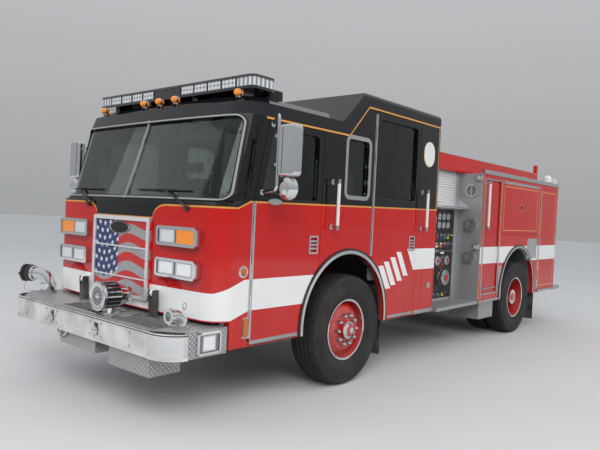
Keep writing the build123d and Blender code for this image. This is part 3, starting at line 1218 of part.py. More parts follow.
def body_trim():
    """Bright rails along the top edges, the arch bands, hand rails and folding steps."""
    top = box(BODY_HALF - 60, BODY_HALF + 14, BODY_Y0, BODY_Y1, BODY_Z1, TRIM_Z1)
    band = arch_band(BODY_ARCH_Y, ARCH_Z, BODY_ARCH_R, BODY_HALF, BODY_Z0 + 4)
    bar = rail(BODY_HALF + 78, SHUTTER_Y0 - 32, 1560, 2200, BODY_HALF)
    parts = [top, band, bar, hatch_hinge[0], locker_hinge[0]]
    y = BODY_Y1 + BODY_Y0 - PUMP_Y1
    grab = disc_z(900, 2120, BODY_HALF - 260, y + 70, 16)
    for z in (925, 2095):
        grab += disc_y(y, y + 70, BODY_HALF - 260, z, 12) + disc_y(y, y + 8, BODY_HALF - 260, z, 26)
    parts.append(grab)
    for z in (1180, 1610, 2065):
        ring = disc_y(PUMP_Y1 - 50, PUMP_Y1, 1110, z, 88) - disc_y(PUMP_Y1 - 60, PUMP_Y1 + 5, 1110, z, 66)
        ring += box(1100, 1120, PUMP_Y1 - 45, PUMP_Y1, z - 70, z + 70)
        parts.append(ring)
    cross = disc_x(-760, 760, y + 70, 2210, 16)
    for x in (-735, 0, 735):
        cross += disc_y(y, y + 70, x, 2210, 12) + disc_y(y, y + 8, x, 2210, 26)
    return [p for q in parts for p in both_sides(q)] + [cross]


def rear_lamps():
    """Tail, turn and reversing lamps on the back, and the warning lamps at the top corners."""
    parts = []
    for i in range(3):
        z = 900 + i * 170
        parts.append(box(BODY_HALF - 190, BODY_HALF - 50, BODY_Y1 + BODY_Y0 - PUMP_Y1, BODY_Y1 + 40, z,
                         z + 140))
    lamp = box(BODY_HALF - 130, BODY_HALF - 20, BODY_Y1 - 150, BODY_Y1 - 30, TRIM_Z1, TRIM_Z1 + 85)
    parts.append(fillet(lamp.edges().group_by(Axis.Z)[-1], 12))
    x, y = BODY_HALF - 75, BODY_Y1 - 350
    dome = turned_z([(0, TRIM_Z1), (78, TRIM_Z1), (78, TRIM_Z1 + 30), (70, TRIM_Z1 + 34), (70, TRIM_Z1 + 75),
                     (52, TRIM_Z1 + 112), (22, TRIM_Z1 + 126), (0, TRIM_Z1 + 128)], x, y)
    parts.append(dome)
    return [p for q in parts for p in both_sides(q)]


def mud_flaps():
    """Rubber flaps behind the wheels."""
    y = ARCH_Y + ARCH_R + FLAP_BEHIND
    edge = CAB_HALF - CAB_WALL - 15
    front = box(790, edge, y, y + FLAP, 190, FLAP_TOP)
    front += box(RAIL_X, edge, y + FLAP, y + 2 * FLAP, FLAP_TOP - 28, FLAP_TOP)
    front += box(RAIL_X, RAIL_X + 80, y + FLAP, y + 2 * FLAP, FLAP_TOP - 28, RAIL_Z0 + 60)
    y = REAR_DOOR_Y0 - LOCKER_SKIN
    rear = box(BODY_INNER, BODY_HALF - BODY_SKIN - 5, y - FLAP, y, 130, BODY_Z0 + 80)
    return [*both_sides(front), *both_sides(rear)]


def underbody_boxes():
    """Step boxes ahead of the rear wheels and the fuel tank behind the axle."""
    step = box(760, BODY_HALF - 50, BODY_Y0 + 160, HATCH_Y0 - 45, 325, BODY_Z0)
    fuel = box(-RAIL_X + 20, RAIL_X - 20, REAR_AXLE + 820, REAR_AXLE + 1420, 380, RAIL_Z0)
    return [*both_sides(step), fuel]


node("body_shell", both_sides(body_side()))
for side, flip in (("left", lambda s: s), ("right", other_side)):
    hatch = locker_door(HATCH_Y0, HATCH_Y1, HATCH_Z0, COMPARTMENT_TOP) + hatch_hinge[1]
    hatch = ring_pull(hatch, (HATCH_Y0 + HATCH_Y1) / 2, 1890)
    locker = locker_door(REAR_DOOR_Y0, REAR_DOOR_Y1, BODY_Z0 + 45, COMPARTMENT_TOP) + locker_hinge[1]
    locker = latch(locker, BODY_HALF, REAR_DOOR_Y1 - 90, REAR_DOOR_Y1 - 22, 1380, 1490)
    node("hatch_" + side, flip(hatch))
    node("locker_door_" + side, flip(locker))
node("rollup_doors", both_sides(shutter()))
node("hose_bed", hose_bed())
node("body_treadplate", body_treadplate())
node("body_trim", body_trim())
node("rear_lamps", rear_lamps())
node("mud_flaps", mud_flaps())
node("underbody_boxes", underbody_boxes())

os.makedirs("parts", exist_ok=True)
for name, shape in NODES.items():
    export_step(shape, "parts/" + name + ".step")
print(len(NODES), "nodes")
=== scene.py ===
import math

import bmesh
import bpy
from mathutils import Matrix, Vector
from mathutils.bvhtree import BVHTree


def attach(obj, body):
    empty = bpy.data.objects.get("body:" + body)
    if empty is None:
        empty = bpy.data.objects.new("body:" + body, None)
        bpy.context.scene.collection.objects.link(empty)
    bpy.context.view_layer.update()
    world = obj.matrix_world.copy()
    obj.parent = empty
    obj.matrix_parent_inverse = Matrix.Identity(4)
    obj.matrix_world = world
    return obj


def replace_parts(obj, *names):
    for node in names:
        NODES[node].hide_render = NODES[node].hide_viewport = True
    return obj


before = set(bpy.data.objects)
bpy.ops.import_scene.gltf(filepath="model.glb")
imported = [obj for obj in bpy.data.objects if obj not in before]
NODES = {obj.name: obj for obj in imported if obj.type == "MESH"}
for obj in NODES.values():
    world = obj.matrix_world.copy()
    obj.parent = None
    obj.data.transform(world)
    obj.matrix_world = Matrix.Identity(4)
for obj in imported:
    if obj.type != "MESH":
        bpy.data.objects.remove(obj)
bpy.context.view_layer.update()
AXLE = -2.044             # y of the front axle; outlines below count from it
REAR = 2.206              # y of the rear axle
WHEELBASE = 4.25
TYRE_R = 0.538            # also the height of the axles
ARCH_Z = 0.64             # middle of both wheel arches; their y counts from the front axle
CAB_ARCH_Y = -0.09
BODY_ARCH_Y = 4.2
SIREN = (0.3, 0, 0.922)   # on the line through the middle of the siren
TURN = 6.2832             # one turn, in radians

# Materials. Object coordinates are the model's own metres, so a pattern stays put when a body moves.


class Value:
    """A socket with arithmetic: each sign adds one node. Comparing gives a mask with a soft edge."""

    def __init__(self, paint, socket):
        self.paint, self.socket = paint, socket

    def __add__(self, other):
        return self.paint.math("ADD", self, other)

    def __sub__(self, other):
        return self.paint.math("SUBTRACT", self, other)

    def __rsub__(self, other):
        return self.paint.math("SUBTRACT", other, self)

    def __mul__(self, other):
        return self.paint.math("MULTIPLY", self, other)

    def __truediv__(self, other):
        return self.paint.math("DIVIDE", self, other)

    def __mod__(self, other):
        return self.paint.math("FLOORED_MODULO", self, other)

    def __abs__(self):
        return self.paint.math("ABSOLUTE", self)

    def __invert__(self):
        return self.paint.math("SUBTRACT", 1.0, self)

    def __gt__(self, edge):
        return self.paint.above(self, edge)

    def __lt__(self, edge):
        return self.paint.above(edge, self)

    def __and__(self, mask):
        return self.paint.math("MULTIPLY", self, mask)

    def __or__(self, mask):
        return self.paint.math("MAXIMUM", self, mask)

    def floor(self):
        return self.paint.math("FLOOR", self)

    def fract(self):
        return self.paint.math("FRACT", self)

    def scaled(self, factor, shift):
        return self.paint.math("MULTIPLY_ADD", self, factor, shift)


class Nodes:
    """A node tree being built. Arguments are numbers, colours or values."""

    def __init__(self, owner, place):
        owner.use_nodes = True
        self.tree = owner.node_tree
        self.tree.nodes.clear()
        self.coords = self.add("TexCoord").outputs
        self.place = self.coords[place]
        self.x, self.y, self.z = self.split(self.place)

    def add(self, kind):
        return self.tree.nodes.new("ShaderNode" + kind)

    def put(self, socket, value):
        value = getattr(value, "socket", value)
        if isinstance(value, bpy.types.NodeSocket):
            self.tree.links.new(value, socket)
        elif hasattr(value, "__len__"):
            socket.default_value = (*value[:3], 1.0) if len(socket.default_value) == 4 else value[:3]
        else:
            socket.default_value = value

    def fed(self, node, *values):
        """The node's first output, once its first inputs have these values."""
        for socket, value in zip(node.inputs, values):
            self.put(socket, value)
        return Value(self, node.outputs[0]) if node.outputs else None

    def split(self, vector):
        node = self.add("SeparateXYZ")
        self.put(node.inputs[0], vector)
        return [Value(self, socket) for socket in node.outputs]

    def math(self, op, *values, clamp=False):
        node = self.add("Math")
        node.operation = op
        node.use_clamp = clamp
        return self.fed(node, *values)

    def above(self, value, edge, soft=0.003):
        """1 where value is over edge, 0 under it."""
        return self.math("MULTIPLY_ADD", self.math("SUBTRACT", value, edge), 1 / soft, 0.5, clamp=True)

    def between(self, value, low, high, soft=0.003):
        return self.above(value, low, soft) & ~self.above(value, high, soft)

    def ramp(self, value, low, high):
        """0 at low, 1 at high, straight between."""
        return self.math("MULTIPLY", value - low, 1 / (high - low), clamp=True)

    def mix(self, a, b, factor):
        node = self.add("Mix")
        node.data_type = "RGBA"
        for socket, value in ((0, factor), (6, a), (7, b)):
            self.put(node.inputs[socket], value)
        return Value(self, node.outputs[2])

    def blend(self, a, b, factor):
        """A number between a and b."""
        return factor.scaled(self.math("SUBTRACT", b, a), a)

    def noise(self, scale, detail=2.0, stretch=None):
        node = self.add("TexNoise")
        node.inputs["Scale"].default_value = scale
        node.inputs["Detail"].default_value = detail
        vector = self.place
        if stretch:
            grow = self.add("VectorMath")
            grow.operation = "MULTIPLY"
            vector = self.fed(grow, vector, stretch)
        self.put(node.inputs["Vector"], vector)
        return Value(self, node.outputs[0])

    def length(self, a, b):
        return self.math("SQRT", a * a + b * b)

    def waves(self, value, pitch):
        return self.math("SINE", value * (TURN / pitch))

    def stops(self, value, table):
        """Colours along a value, from (value, colour) pairs in rising order."""
        node = self.add("ValToRGB")
        stops = node.color_ramp.elements
        stops[0].position, stops[1].position = table[0][0], table[-1][0]
        for spot, _ in table[1:-1]:
            stops.new(spot)
        for stop, (_, colour) in zip(stops, table):
            stop.color = (*colour, 1)
        return self.fed(node, value)

    def seen(self):
        """1 for rays from the camera, a mirror or through glass, which show this; 0 for those it lights by."""
        rays = self.add("LightPath").outputs
        kinds = ("Camera", "Glossy", "Transmission")
        camera, glossy, through = (Value(self, rays["Is %s Ray" % kind]) for kind in kinds)
        return camera | glossy | through


class Paint(Nodes):
    """A material being built."""

    def __init__(self, name, colour=(0.5, 0.5, 0.5), rough=0.4, metal=0.0, **fixed):
        self.material = bpy.data.materials.new(name)
        super().__init__(self.material, "Object")
        self.bsdf = self.add("BsdfPrincipled")
        self.put(self.add("OutputMaterial").inputs["Surface"], self.bsdf.outputs[0])
        self.side = abs(self.x)
        self.back = self.y - AXLE
        self.set(colour=colour, rough=rough, metal=metal)
        for key, value in fixed.items():
            self.bsdf.inputs[key.replace("_", " ").title().replace("Ior", "IOR")].default_value = value

    def set(self, colour=None, rough=None, metal=None):
        for name, value in (("Base Color", colour), ("Roughness", rough), ("Metallic", metal)):
            if value is not None:
                self.put(self.bsdf.inputs[name], value)

    def cover(self, colour, mask, **others):
        """Another colour over the one that is set."""
        base = self.bsdf.inputs["Base Color"].links[0].from_socket
        self.set(colour=self.mix(base, colour, mask), **others)

    def bump(self, height, distance, strength=1.0):
        node = self.add("Bump")
        node.inputs["Distance"].default_value = distance
        node.inputs["Strength"].default_value = strength
        self.put(node.inputs["Height"], height)
        self.put(self.bsdf.inputs["Normal"], node.outputs[0])

    def wheel_radius(self):
        """Distance from the axle of whichever wheel this is."""
        along = abs(self.y - (AXLE + REAR) / 2) - (REAR - AXLE) / 2
        return self.length(along, self.z - TYRE_R)

    def dust(self, colour, low=0.25, high=1.3, amount=0.45):
        """Road film that thins out with height."""
        fade = ~self.ramp(self.z, low, high)
        self.film = (fade & self.ramp(self.noise(5.0, 5.0), 0.35, 0.75)) * amount
        return self.mix(colour, (0.3, 0.27, 0.23), self.film)


COATED = {"rough": 0.4, "coat_weight": 1.0, "coat_roughness": 0.012, "specular_ior_level": 0.0}


def gloss(name, colour, amount=0.12):
    """Clear-coated paint with a faint orange peel, road film low down and a little mottling."""
    p = Paint(name, **COATED)
    return finish_gloss(p, colour, amount)


def finish_gloss(p, colour, amount=0.12):
    tone = p.noise(1.7, 3.0)
    shade = p.mix(colour, p.mix(colour, (0.0, 0.0, 0.0), 0.22), tone)
    p.set(colour=p.dust(shade, amount=amount), rough=p.film.scaled(0.4, 0.36))
    p.bump(p.noise(90.0, 2.0), 0.00008, 0.3)
    return p


RED = (0.52, 0.008, 0.006)
WHITE = (0.82, 0.82, 0.8)
BLACK = (0.004, 0.004, 0.0045)
GOLD = (0.72, 0.33, 0.07)


def cab_livery():
    """Red and black parted by a gold line, white band with a rising corner, slanted bars, gold roof line."""
    p = Paint("cab_livery", **COATED)
    reach = ~p.ramp(p.side, 0.43, 0.6)
    dip = p.math("SQRT", ~(reach * reach))
    front = dip.scaled(0.114, 1.561)
    side = p.back.scaled(0.0129, 1.749)
    line = p.blend(front, side, p.ramp(p.back, -1.57, -1.44))
    roof = p.ramp(p.back, -0.163, 0.143).scaled(0.317, 2.431)
    dark = p.z > line
    colour = p.mix(RED, BLACK, dark)
    low = p.ramp(p.back, -1.6, -1.41).scaled(0.063, 0.8)
    high = p.ramp(p.back, -1.735, -1.47).scaled(0.101, 1.011)
    band = (p.z > low) & (high > p.z) & (p.back < -0.3)
    lean = p.z.scaled(0.62, p.back)
    rear = (lean > 1.815) & p.between(p.z, 1.084, 1.32) & (p.back > 0.9)
    white = band | rear
    bars = ((1.15, 0.905, 1.152), (1.275, 0.937, 1.192), (1.425, 0.975, 1.236), (1.575, 1.025, 1.29))
    for start, bottom, top in bars:
        bar = p.between(lean, start, start + 0.095) & p.between(p.z, bottom, top) & (p.back > 0.3)
        white = white | bar
    colour = p.mix(colour, WHITE, white & ~dark)
    edge = p.between(p.z - line, -0.007, 0.007)
    along = p.between(roof - p.z, 0.004, 0.02) & (p.back > -1.3)
    upright = p.between(p.back, 1.6, 1.612) & dark
    outside = (p.side > 1.165) | (p.back < -1.55)
    gold = (edge | along | upright) & outside
    colour = p.mix(colour, GOLD, gold)
    inner = (p.side < 1.185) & (p.back > -1.5) & (p.back < 1.6)
    colour = p.mix(colour, (0.05, 0.05, 0.052), inner)
    metal = p.above(p.side, 1.2206, 0.0004)
    finish_gloss(p, colour)
    p.set(metal=metal)
    p.cover((0.62, 0.62, 0.63), metal)
    return p.material


def body_livery():
    """Red with a white band and gold door outlines."""
    p = Paint("body_livery", **COATED)
    side = p.side > 1.19
    band = p.between(p.z, 1.087, 1.317) & side
    colour = p.mix(RED, WHITE, band)
    lines = []
    for y0, y1, z0, z1 in ((3.56, 4.91, 1.545, 2.185), (5.1, 5.785, 0.66, 2.185)):
        outer, inner = (p.between(p.back, y0 + d, y1 - d, 0.002) & p.between(p.z, z0 + d, z1 - d, 0.002)
                        for d in (0.0, 0.011))
        lines.append(outer - inner)
    for y in (2.862, 3.49, 5.002, 5.853):
        lines.append(p.between(p.back, y - 0.005, y + 0.005) & p.between(p.z, 0.62, 2.27))
    gold = lines[0]
    for line in lines[1:]:
        gold = gold | line
    gold = gold & side & ~band
    colour = p.mix(colour, GOLD, gold)
    inside = (p.side < 1.2) & (p.side > 0.63)
    colour = p.mix(colour, (0.16, 0.16, 0.165), inside)
    finish_gloss(p, colour)
    metal = p.above(p.side, 1.2506, 0.0004)
    p.cover((0.62, 0.62, 0.63), metal, metal=metal)
    return p.material


def hose_bed_look():
    """Red walls and corner posts round a bare metal floor."""
    p = Paint("hose_bed_look", **COATED)
    floor = (p.z < 2.3165) & (p.side < 0.955)
    finish_gloss(p, p.mix(RED, (0.4, 0.4, 0.41), floor))
    return p.material


def treadplate(name="treadplate", flag=False):
    """Bright plate with raised lozenges laid in alternate directions; the lozenges are painted near white as
    painted highlight and the flat between them dark as painted shade.
    """
    p = Paint(name, rough=0.3, metal=0.6)
    nx, ny = (abs(part) for part in p.split(p.coords["Normal"])[:2])
    facing_x = p.above(nx, 0.6, 0.05)
    facing_y = p.above(ny, 0.6, 0.05)
    u = p.blend(p.x, p.y, facing_x)
    v = p.blend(p.blend(p.y, p.z, facing_x), p.z, facing_y)
    pitch = 0.04
    a = (u + v) / pitch
    b = (u - v) / pitch
    cell = a.floor() + b.floor()
    odd = cell % 2.0
    la = abs(a.fract() - 0.5)
    lb = abs(b.fract() - 0.5)
    long = p.blend(la, lb, odd)
    short = p.blend(lb, la, odd)
    far = long / 0.5 + short / 0.24
    lozenge = p.ramp(far, 1.0, 0.75)
    # painted highlight and shade: the raised lozenges are coloured near white, the flat between them dark grey
    tone = p.mix((0.3, 0.3, 0.305), (0.98, 0.98, 0.98), lozenge)
    tone = p.mix(tone, (0.5, 0.5, 0.5), p.ramp(p.noise(9.0, 4.0), 0.3, 0.8) * 0.4)
    if flag:
        tone, painted = flag_colours(p, tone)
        frame_part = p.above(-1.8195, p.back, 0.001)
        tone = p.mix(tone, (0.76, 0.77, 0.78), frame_part)
        lozenge = lozenge & ~frame_part
        p.set(metal=(~painted | frame_part) * 0.6)
    p.set(colour=p.dust(tone, low=0.3, high=1.0, amount=0.35), rough=lozenge.scaled(-0.22, 0.4))
    p.bump(lozenge, 0.003)
    return p.material


def flag_colours(p, plate):
    """Waving stripes over bare plate, with a blue canton and pale stars."""
    wave = p.math("SINE", p.x.scaled(9.5, 0.6)) * 0.04
    wave = wave + p.x * 0.1
    height = p.z - wave
    stripe = (height - 0.8) / 0.16 % 1.0
    red = p.between(stripe, 0.04, 0.52, 0.03)
    colour = p.mix(plate, (0.5, 0.02, 0.018), red)
    canton = (p.x < -0.03) & (height > 1.075)
    colour = p.mix(colour, (0.022, 0.032, 0.12), canton)
    row = height / 0.066
    shift = row.floor() % 2.0 * 0.5
    column = p.x / 0.084 + shift
    dx = (column.fract() - 0.5) * 0.084
    dz = (row.fract() - 0.5) * 0.066
    radius = p.length(dx, dz)
    angle = p.math("ARCTAN2", dx, dz)
    points = p.math("COSINE", angle * 5.0).scaled(0.0075, 0.0165)
    star = p.above(points, radius, 0.002) & canton
    colour = p.mix(colour, (0.72, 0.73, 0.74), star)
    return colour, red | canton


def metal_paint(name, colour, rough, scratch=0.04, brush=None, dirt=0.2, smudge=0.06):
    """Bare metal: smudges, fine scratches or a brushed grain, and a little road film."""
    p = Paint(name, rough=rough, metal=1.0)
    blotch = p.noise(6.0, 4.0)
    p.set(colour=p.dust(p.mix(colour, [c * 0.82 for c in colour], blotch), amount=dirt))
    grain = p.noise(60.0, 3.0, stretch=brush or (1.0, 1.0, 1.0))
    p.set(rough=grain * scratch + blotch.scaled(smudge, rough))
    p.bump(grain, 0.0002, 0.3)
    return p.material


def plain(name, colour, rough, grain=220.0, depth=0.0004, dirt=0.2, coat=0.0, spread=0.25):
    """Moulded plastic, rubber or dull paint with a fine texture and some dust."""
    p = Paint(name, rough=rough, coat_weight=coat, coat_roughness=0.1)
    mottle = p.noise(3.1, 4.0)
    tone = p.mix(colour, [c * (1 + spread) + 0.01 for c in colour], mottle)
    p.set(colour=p.dust(tone, amount=dirt), rough=mottle.scaled(0.15, rough - 0.07))
    p.bump(p.noise(grain, 3.0), depth, 0.6)
    return p.material


def glass(name, colour):
    """Clear or tinted glass."""
    p = Paint(name, colour=colour, rough=0.0, transmission_weight=1.0, ior=1.45)
    shade = p.ramp(p.z, 1.7, 2.6)
    streak = p.ramp(p.noise(2.2, 5.0), 0.55, 0.9)
    p.set(colour=p.mix(colour, [c * 0.7 for c in colour], shade | streak * 0.3))
    return p.material


def lens(name, colour, pitch=0.012):
    """A moulded lens with fine upright ribs; along each rib its colour runs from a painted shade to a painted
    highlight, standing in for a bright reflector behind it.
    """
    p = Paint(name, colour=colour, rough=0.12, coat_weight=0.8, coat_roughness=0.03, transmission_weight=0.35)
    ribs = p.waves(p.x + p.y, pitch)
    rows = p.waves(p.z, pitch * 2.4)
    # painted highlight and shade: the colour darkens to 0.6 on one side of each rib
    tone = p.mix([c * 0.6 for c in colour], colour, p.ramp(ribs, -1.0, 0.6))
    p.set(colour=tone)
    p.bump(ribs + rows * 0.6, 0.0012)
    return p.material


def rubber_tyre():
    """Black rubber with brown dust in patches and a fine grain."""
    p = Paint("tyre_rubber", rough=0.72)
    mottle = p.noise(14.0, 5.0)
    tone = p.mix((0.009, 0.009, 0.009), (0.03, 0.028, 0.026), mottle)
    dusty = p.ramp(p.noise(4.0, 5.0), 0.45, 0.8)
    p.set(colour=p.mix(tone, (0.12, 0.105, 0.09), dusty * 0.18))
    p.bump(p.noise(300.0, 2.0), 0.0004, 0.6)
    return p.material


def wheel_paint():
    """A red wheel with a bright lip, chrome nut covers and a chrome ring round the red hub cap; the rear hub,
    deep in its dish, is painted a darker red as painted shade.
    """
    p = Paint("wheel_paint", rough=0.28, coat_weight=0.6, coat_roughness=0.05)
    r = p.wheel_radius()
    rear = p.y > 0.0
    lip = p.above(r, 0.2805, 0.001)
    out = p.between(p.side, p.blend(1.153, 0.921, rear), p.blend(1.3, 0.966, rear), 0.001)
    nuts = p.between(r, 0.122, 0.165, 0.001) & out
    cap = p.between(r, 0.058, 0.105, 0.001) & p.above(p.side, p.blend(1.19, 1.12, rear), 0.001)
    # painted shade: the rear hub, deep in its dish, is coloured a darker red
    hub = (r < 0.118) & (p.blend(1.19, 1.12, rear) > p.side) & rear
    bright = lip | nuts | cap
    finish_gloss(p, p.mix((0.5, 0.008, 0.008), (0.22, 0.012, 0.01), hub), 0.5)
    p.cover((0.78, 0.78, 0.79), bright, metal=bright, rough=p.blend(0.3, 0.1, bright))
    return p.material


def lamp_look():
    """Clear panes over bright bowls; the outer half of the upper row and the roof markers are amber, their
    ribs painted lighter and darker as painted highlight and shade.
    """
    p = Paint("lamp_lenses", rough=0.1, coat_weight=0.9, coat_roughness=0.03)
    away = lambda value, middle, half: abs(value - middle) / half
    near = lambda a, b: p.math("MINIMUM", a, b)
    face = p.math("MAXIMUM", near(away(p.side, 0.676, 0.108), away(p.side, 0.904, 0.108)),
                  near(away(p.z, 1.174, 0.056), away(p.z, 1.429, 0.059)))
    wing = p.math("MAXIMUM", away(p.back, -1.821, 0.068), away(p.z, 0.661, 0.063))
    bowl = p.ramp(p.blend(face, wing, p.side > 1.15), 1.02, 0.7)
    outer = (p.side > 0.79) & p.between(p.z, 1.34, 1.52)
    amber = outer | (p.z > 2.5)
    ribs = p.waves(p.x + p.y, 0.014)
    clear = p.mix((0.16, 0.165, 0.17), (0.88, 0.89, 0.9), bowl)
    # painted highlight and shade: the amber lightens and darkens along the ribs
    warm = p.mix((0.8, 0.17, 0.004), (1.0, 0.34, 0.01), p.ramp(ribs, -1.0, 1.0))
    p.set(colour=p.mix(clear, warm, amber), metal=~amber * 0.5)
    p.bump(ribs, 0.0006)
    return p.material


def siren_look():
    """Chrome, with painted shade, dull and near black, between the drum's flutes and behind the fins of its
    face.
    """
    p = Paint("siren_look", rough=0.05, metal=1.0)
    r = p.length(p.x - SIREN[0], p.z - SIREN[2])
    drum = p.above(0.1085, r, 0.0005) & p.between(p.back, -2.172, -2.036, 0.001) & (r > 0.09)
    face = p.above(0.078, r, 0.0005) & p.between(p.back, -2.191, -2.18, 0.001)
    # painted shade: the ground between the drum's flutes and behind the face's fins is coloured near black
    dark = drum | face
    smudge = p.noise(7.0, 4.0)
    p.set(colour=p.dust(p.mix((0.8, 0.81, 0.82), (0.07, 0.07, 0.075), dark), amount=0.15))
    p.set(rough=p.blend(smudge.scaled(0.1, 0.02), 0.45, dark))
    return p.material


def lightbar_look():
    """Black base, four clear modules of small round reflectors on each half, clear ends striped with painted
    highlight and painted shade, and a smoked lid.
    """
    p = Paint("lightbar_look", rough=0.1, coat_weight=0.9, coat_roughness=0.02)
    body = p.between(p.z, 2.675, 2.7475, 0.001)
    share = (p.side - 0.205) / 0.1825
    pane = body & p.between(p.side, 0.205, 0.935) & p.between(share.fract(), 0.07, 0.93, 0.02)
    cell = lambda value, pitch: (value / pitch).fract() - 0.5
    dot = p.length(cell(share.fract(), 0.25), cell(p.z - 2.675, 0.0365))
    bright = p.ramp(dot, 0.62, 0.25)
    tone = p.mix((0.1, 0.105, 0.11), (0.88, 0.89, 0.9), bright)
    ends = body & (p.side > 0.945)
    # painted highlight and shade: light and dark bands across the clear ends
    painted_end_bands = p.ramp(p.waves(p.x + p.y, 0.05), -1.0, 1.0)
    colour = p.mix((0.01, 0.01, 0.011), tone, pane)
    colour = p.mix(colour, p.mix((0.16, 0.165, 0.17), (0.62, 0.63, 0.64), painted_end_bands), ends)
    colour = p.mix(colour, (0.035, 0.035, 0.038), p.above(p.z, 2.748, 0.001))
    p.set(colour=colour, metal=(pane & bright) * 0.5)
    p.bump(pane & bright, 0.001)
    return p.material


def cab_rail_look():
    """Pale hand grips with bright ends, bright arch and window bands edged in rubber."""
    p = Paint("cab_rail_look", rough=0.14, metal=1.0)
    grip = p.above(p.side, 1.278, 0.001) & p.between(p.z, 1.562, 1.944, 0.002)
    arch = p.length(p.back - CAB_ARCH_Y, p.z - ARCH_Z)
    edge = p.between(arch, 0.681, 0.705, 0.001) & p.above(p.side, 1.2195, 0.0005) & (p.z < 1.36)
    edge = edge | (abs(p.back - CAB_ARCH_Y) > 0.681) & (p.z < ARCH_Z)
    qx = (p.z - 1.745).scaled(0.0227, p.side) - 1.105
    qz = abs(p.z - 2.075) - 0.27
    out = p.length(p.math("MAXIMUM", qx, 0.0), p.math("MAXIMUM", qz, 0.0))
    screen = (p.back < -1.45) & (p.z > 1.7)
    strip = p.between(out - 0.06, 0.006, 0.017, 0.001)
    bar = (p.side < 0.016) & p.above(p.side, 0.0045, 0.001)
    rubber_band = screen & ~(strip | bar)
    dark = edge | rubber_band
    dark = edge | rubber_band
    return finish_rails(p, grip, dark, grip | dark, 0.32, (0.6, 0.6, 0.61), 0.15)


def finish_rails(p, grip, rubber, dull, rougher, worn, film):
    """Bright metal with ribbed pale grips and dark rubber."""
    scuff = p.noise(7.0, 4.0)
    colour = p.mix(p.mix((0.74, 0.75, 0.76), worn, scuff), (0.74, 0.73, 0.69), grip)
    p.set(colour=p.dust(p.mix(colour, (0.014, 0.014, 0.014), rubber), amount=film), metal=~grip & ~rubber)
    p.set(rough=dull.scaled(rougher, scuff.scaled(0.1, 0.08)))
    p.bump(grip & p.waves(p.z, 0.009), 0.0008)
    return p.material


def pump_house_look():
    """Red top, satin slatted covers over the cross-lay beds, bright plate below."""
    p = Paint("pump_house_look", rough=0.3, metal=1.0)
    side = p.side > 0.905
    cover = side & p.between(p.z, 1.812, 2.302)
    top = p.z > 2.27
    red = top & ~cover
    grain = p.noise(30.0, 3.0, stretch=(1.0, 14.0, 1.0))
    plate = p.mix((0.62, 0.63, 0.64), (0.78, 0.79, 0.8), grain)
    p.set(colour=p.dust(p.mix(plate, RED, red), amount=0.25), metal=~red * 0.7)
    p.set(rough=grain.scaled(0.18, 0.22))
    p.bump(grain, 0.0003, 0.4)
    return p.material


def bumper_look():
    """Worn bright bumper: dull smudged middle, a polished plate on each wing, painted shade in the ribs."""
    p = Paint("bumper_look", rough=0.2, metal=1.0)
    wing = (p.side > 0.985) & p.between(p.z, 0.584, 0.728)
    smear = p.noise(4.0, 6.0)
    fine = p.noise(38.0, 4.0)
    tone = p.mix((0.8, 0.79, 0.77), (0.46, 0.45, 0.42), p.ramp(smear, 0.42, 0.7))
    tone = p.mix(tone, (0.8, 0.81, 0.82), wing)
    worn = p.blend(0.55, 1.0, wing)
    low, high = NODES["front_bumper"].bound_box[0][2], NODES["front_bumper"].bound_box[6][2]
    # painted shade: the rib grooves near the top and bottom edges are coloured near black and made dull
    dark = p.between(p.z, low + 0.006, low + 0.015, 0.001) | p.between(p.z, high - 0.015, high - 0.006, 0.001)
    dark = dark & (p.back < -1.9)
    p.set(colour=p.dust(p.mix(tone, (0.02, 0.02, 0.02), dark), low=0.4, high=0.9, amount=0.4),
          metal=~dark & worn)
    p.set(rough=p.blend(smear.scaled(0.2, 0.05), 0.03, wing))
    p.bump(~wing & fine, 0.0006, 0.4)
    return p.material


def tail_lamp_look():
    """Red stop, amber turn and clear reversing lenses, a white warning lamp and a clear dome; one side of each
    rib is painted darker as painted shade.
    """
    p = Paint("tail_lamp_look", rough=0.12, coat_weight=0.9, coat_roughness=0.03)
    ribs = p.waves(p.z, 0.012)
    colour = p.mix((0.8, 0.2, 0.01), (0.6, 0.008, 0.008), p.z > 1.055)
    colour = p.mix((0.75, 0.76, 0.77), colour, p.z > 1.045)
    colour = p.mix(colour, (0.6, 0.008, 0.008), p.z > 1.23)
    colour = p.mix(colour, (0.8, 0.8, 0.79), p.z > 2.3)
    # painted shade: one side of each rib is darkened by a third
    p.set(colour=p.mix(p.mix(colour, (0.0, 0.0, 0.0), 0.35), colour, p.ramp(ribs, -1.0, 0.5)))
    p.bump(ribs, 0.0008)
    return p.material


def cab_floor_look():
    """Dark rubber matting inside, the wheel boxes a dark red underneath as painted shade, bright plate in the
    step wells.
    """
    p = Paint("cab_floor_look", rough=0.75)
    arch = p.length(p.back - CAB_ARCH_Y, p.z - ARCH_Z)
    room = p.length(p.back, p.z - TYRE_R)
    well = ((arch < 0.659) | (room < 0.697)) & (p.side > 0.56)
    step = (p.side > 0.862) & (p.z < 0.93) & ~well
    mat = p.mix((0.022, 0.022, 0.023), (0.04, 0.039, 0.038), p.noise(9.0, 4.0))
    # painted shade: the wheel boxes' undersides are coloured a dark red, well below the body's red
    p.set(colour=p.mix(p.mix(mat, (0.16, 0.01, 0.008), well), (0.6, 0.6, 0.61), step), metal=step)
    p.set(rough=(well | step).scaled(-0.35, 0.75))
    p.bump(p.math("SINE", p.x * 520.0), 0.0008, 0.4)
    return p.material


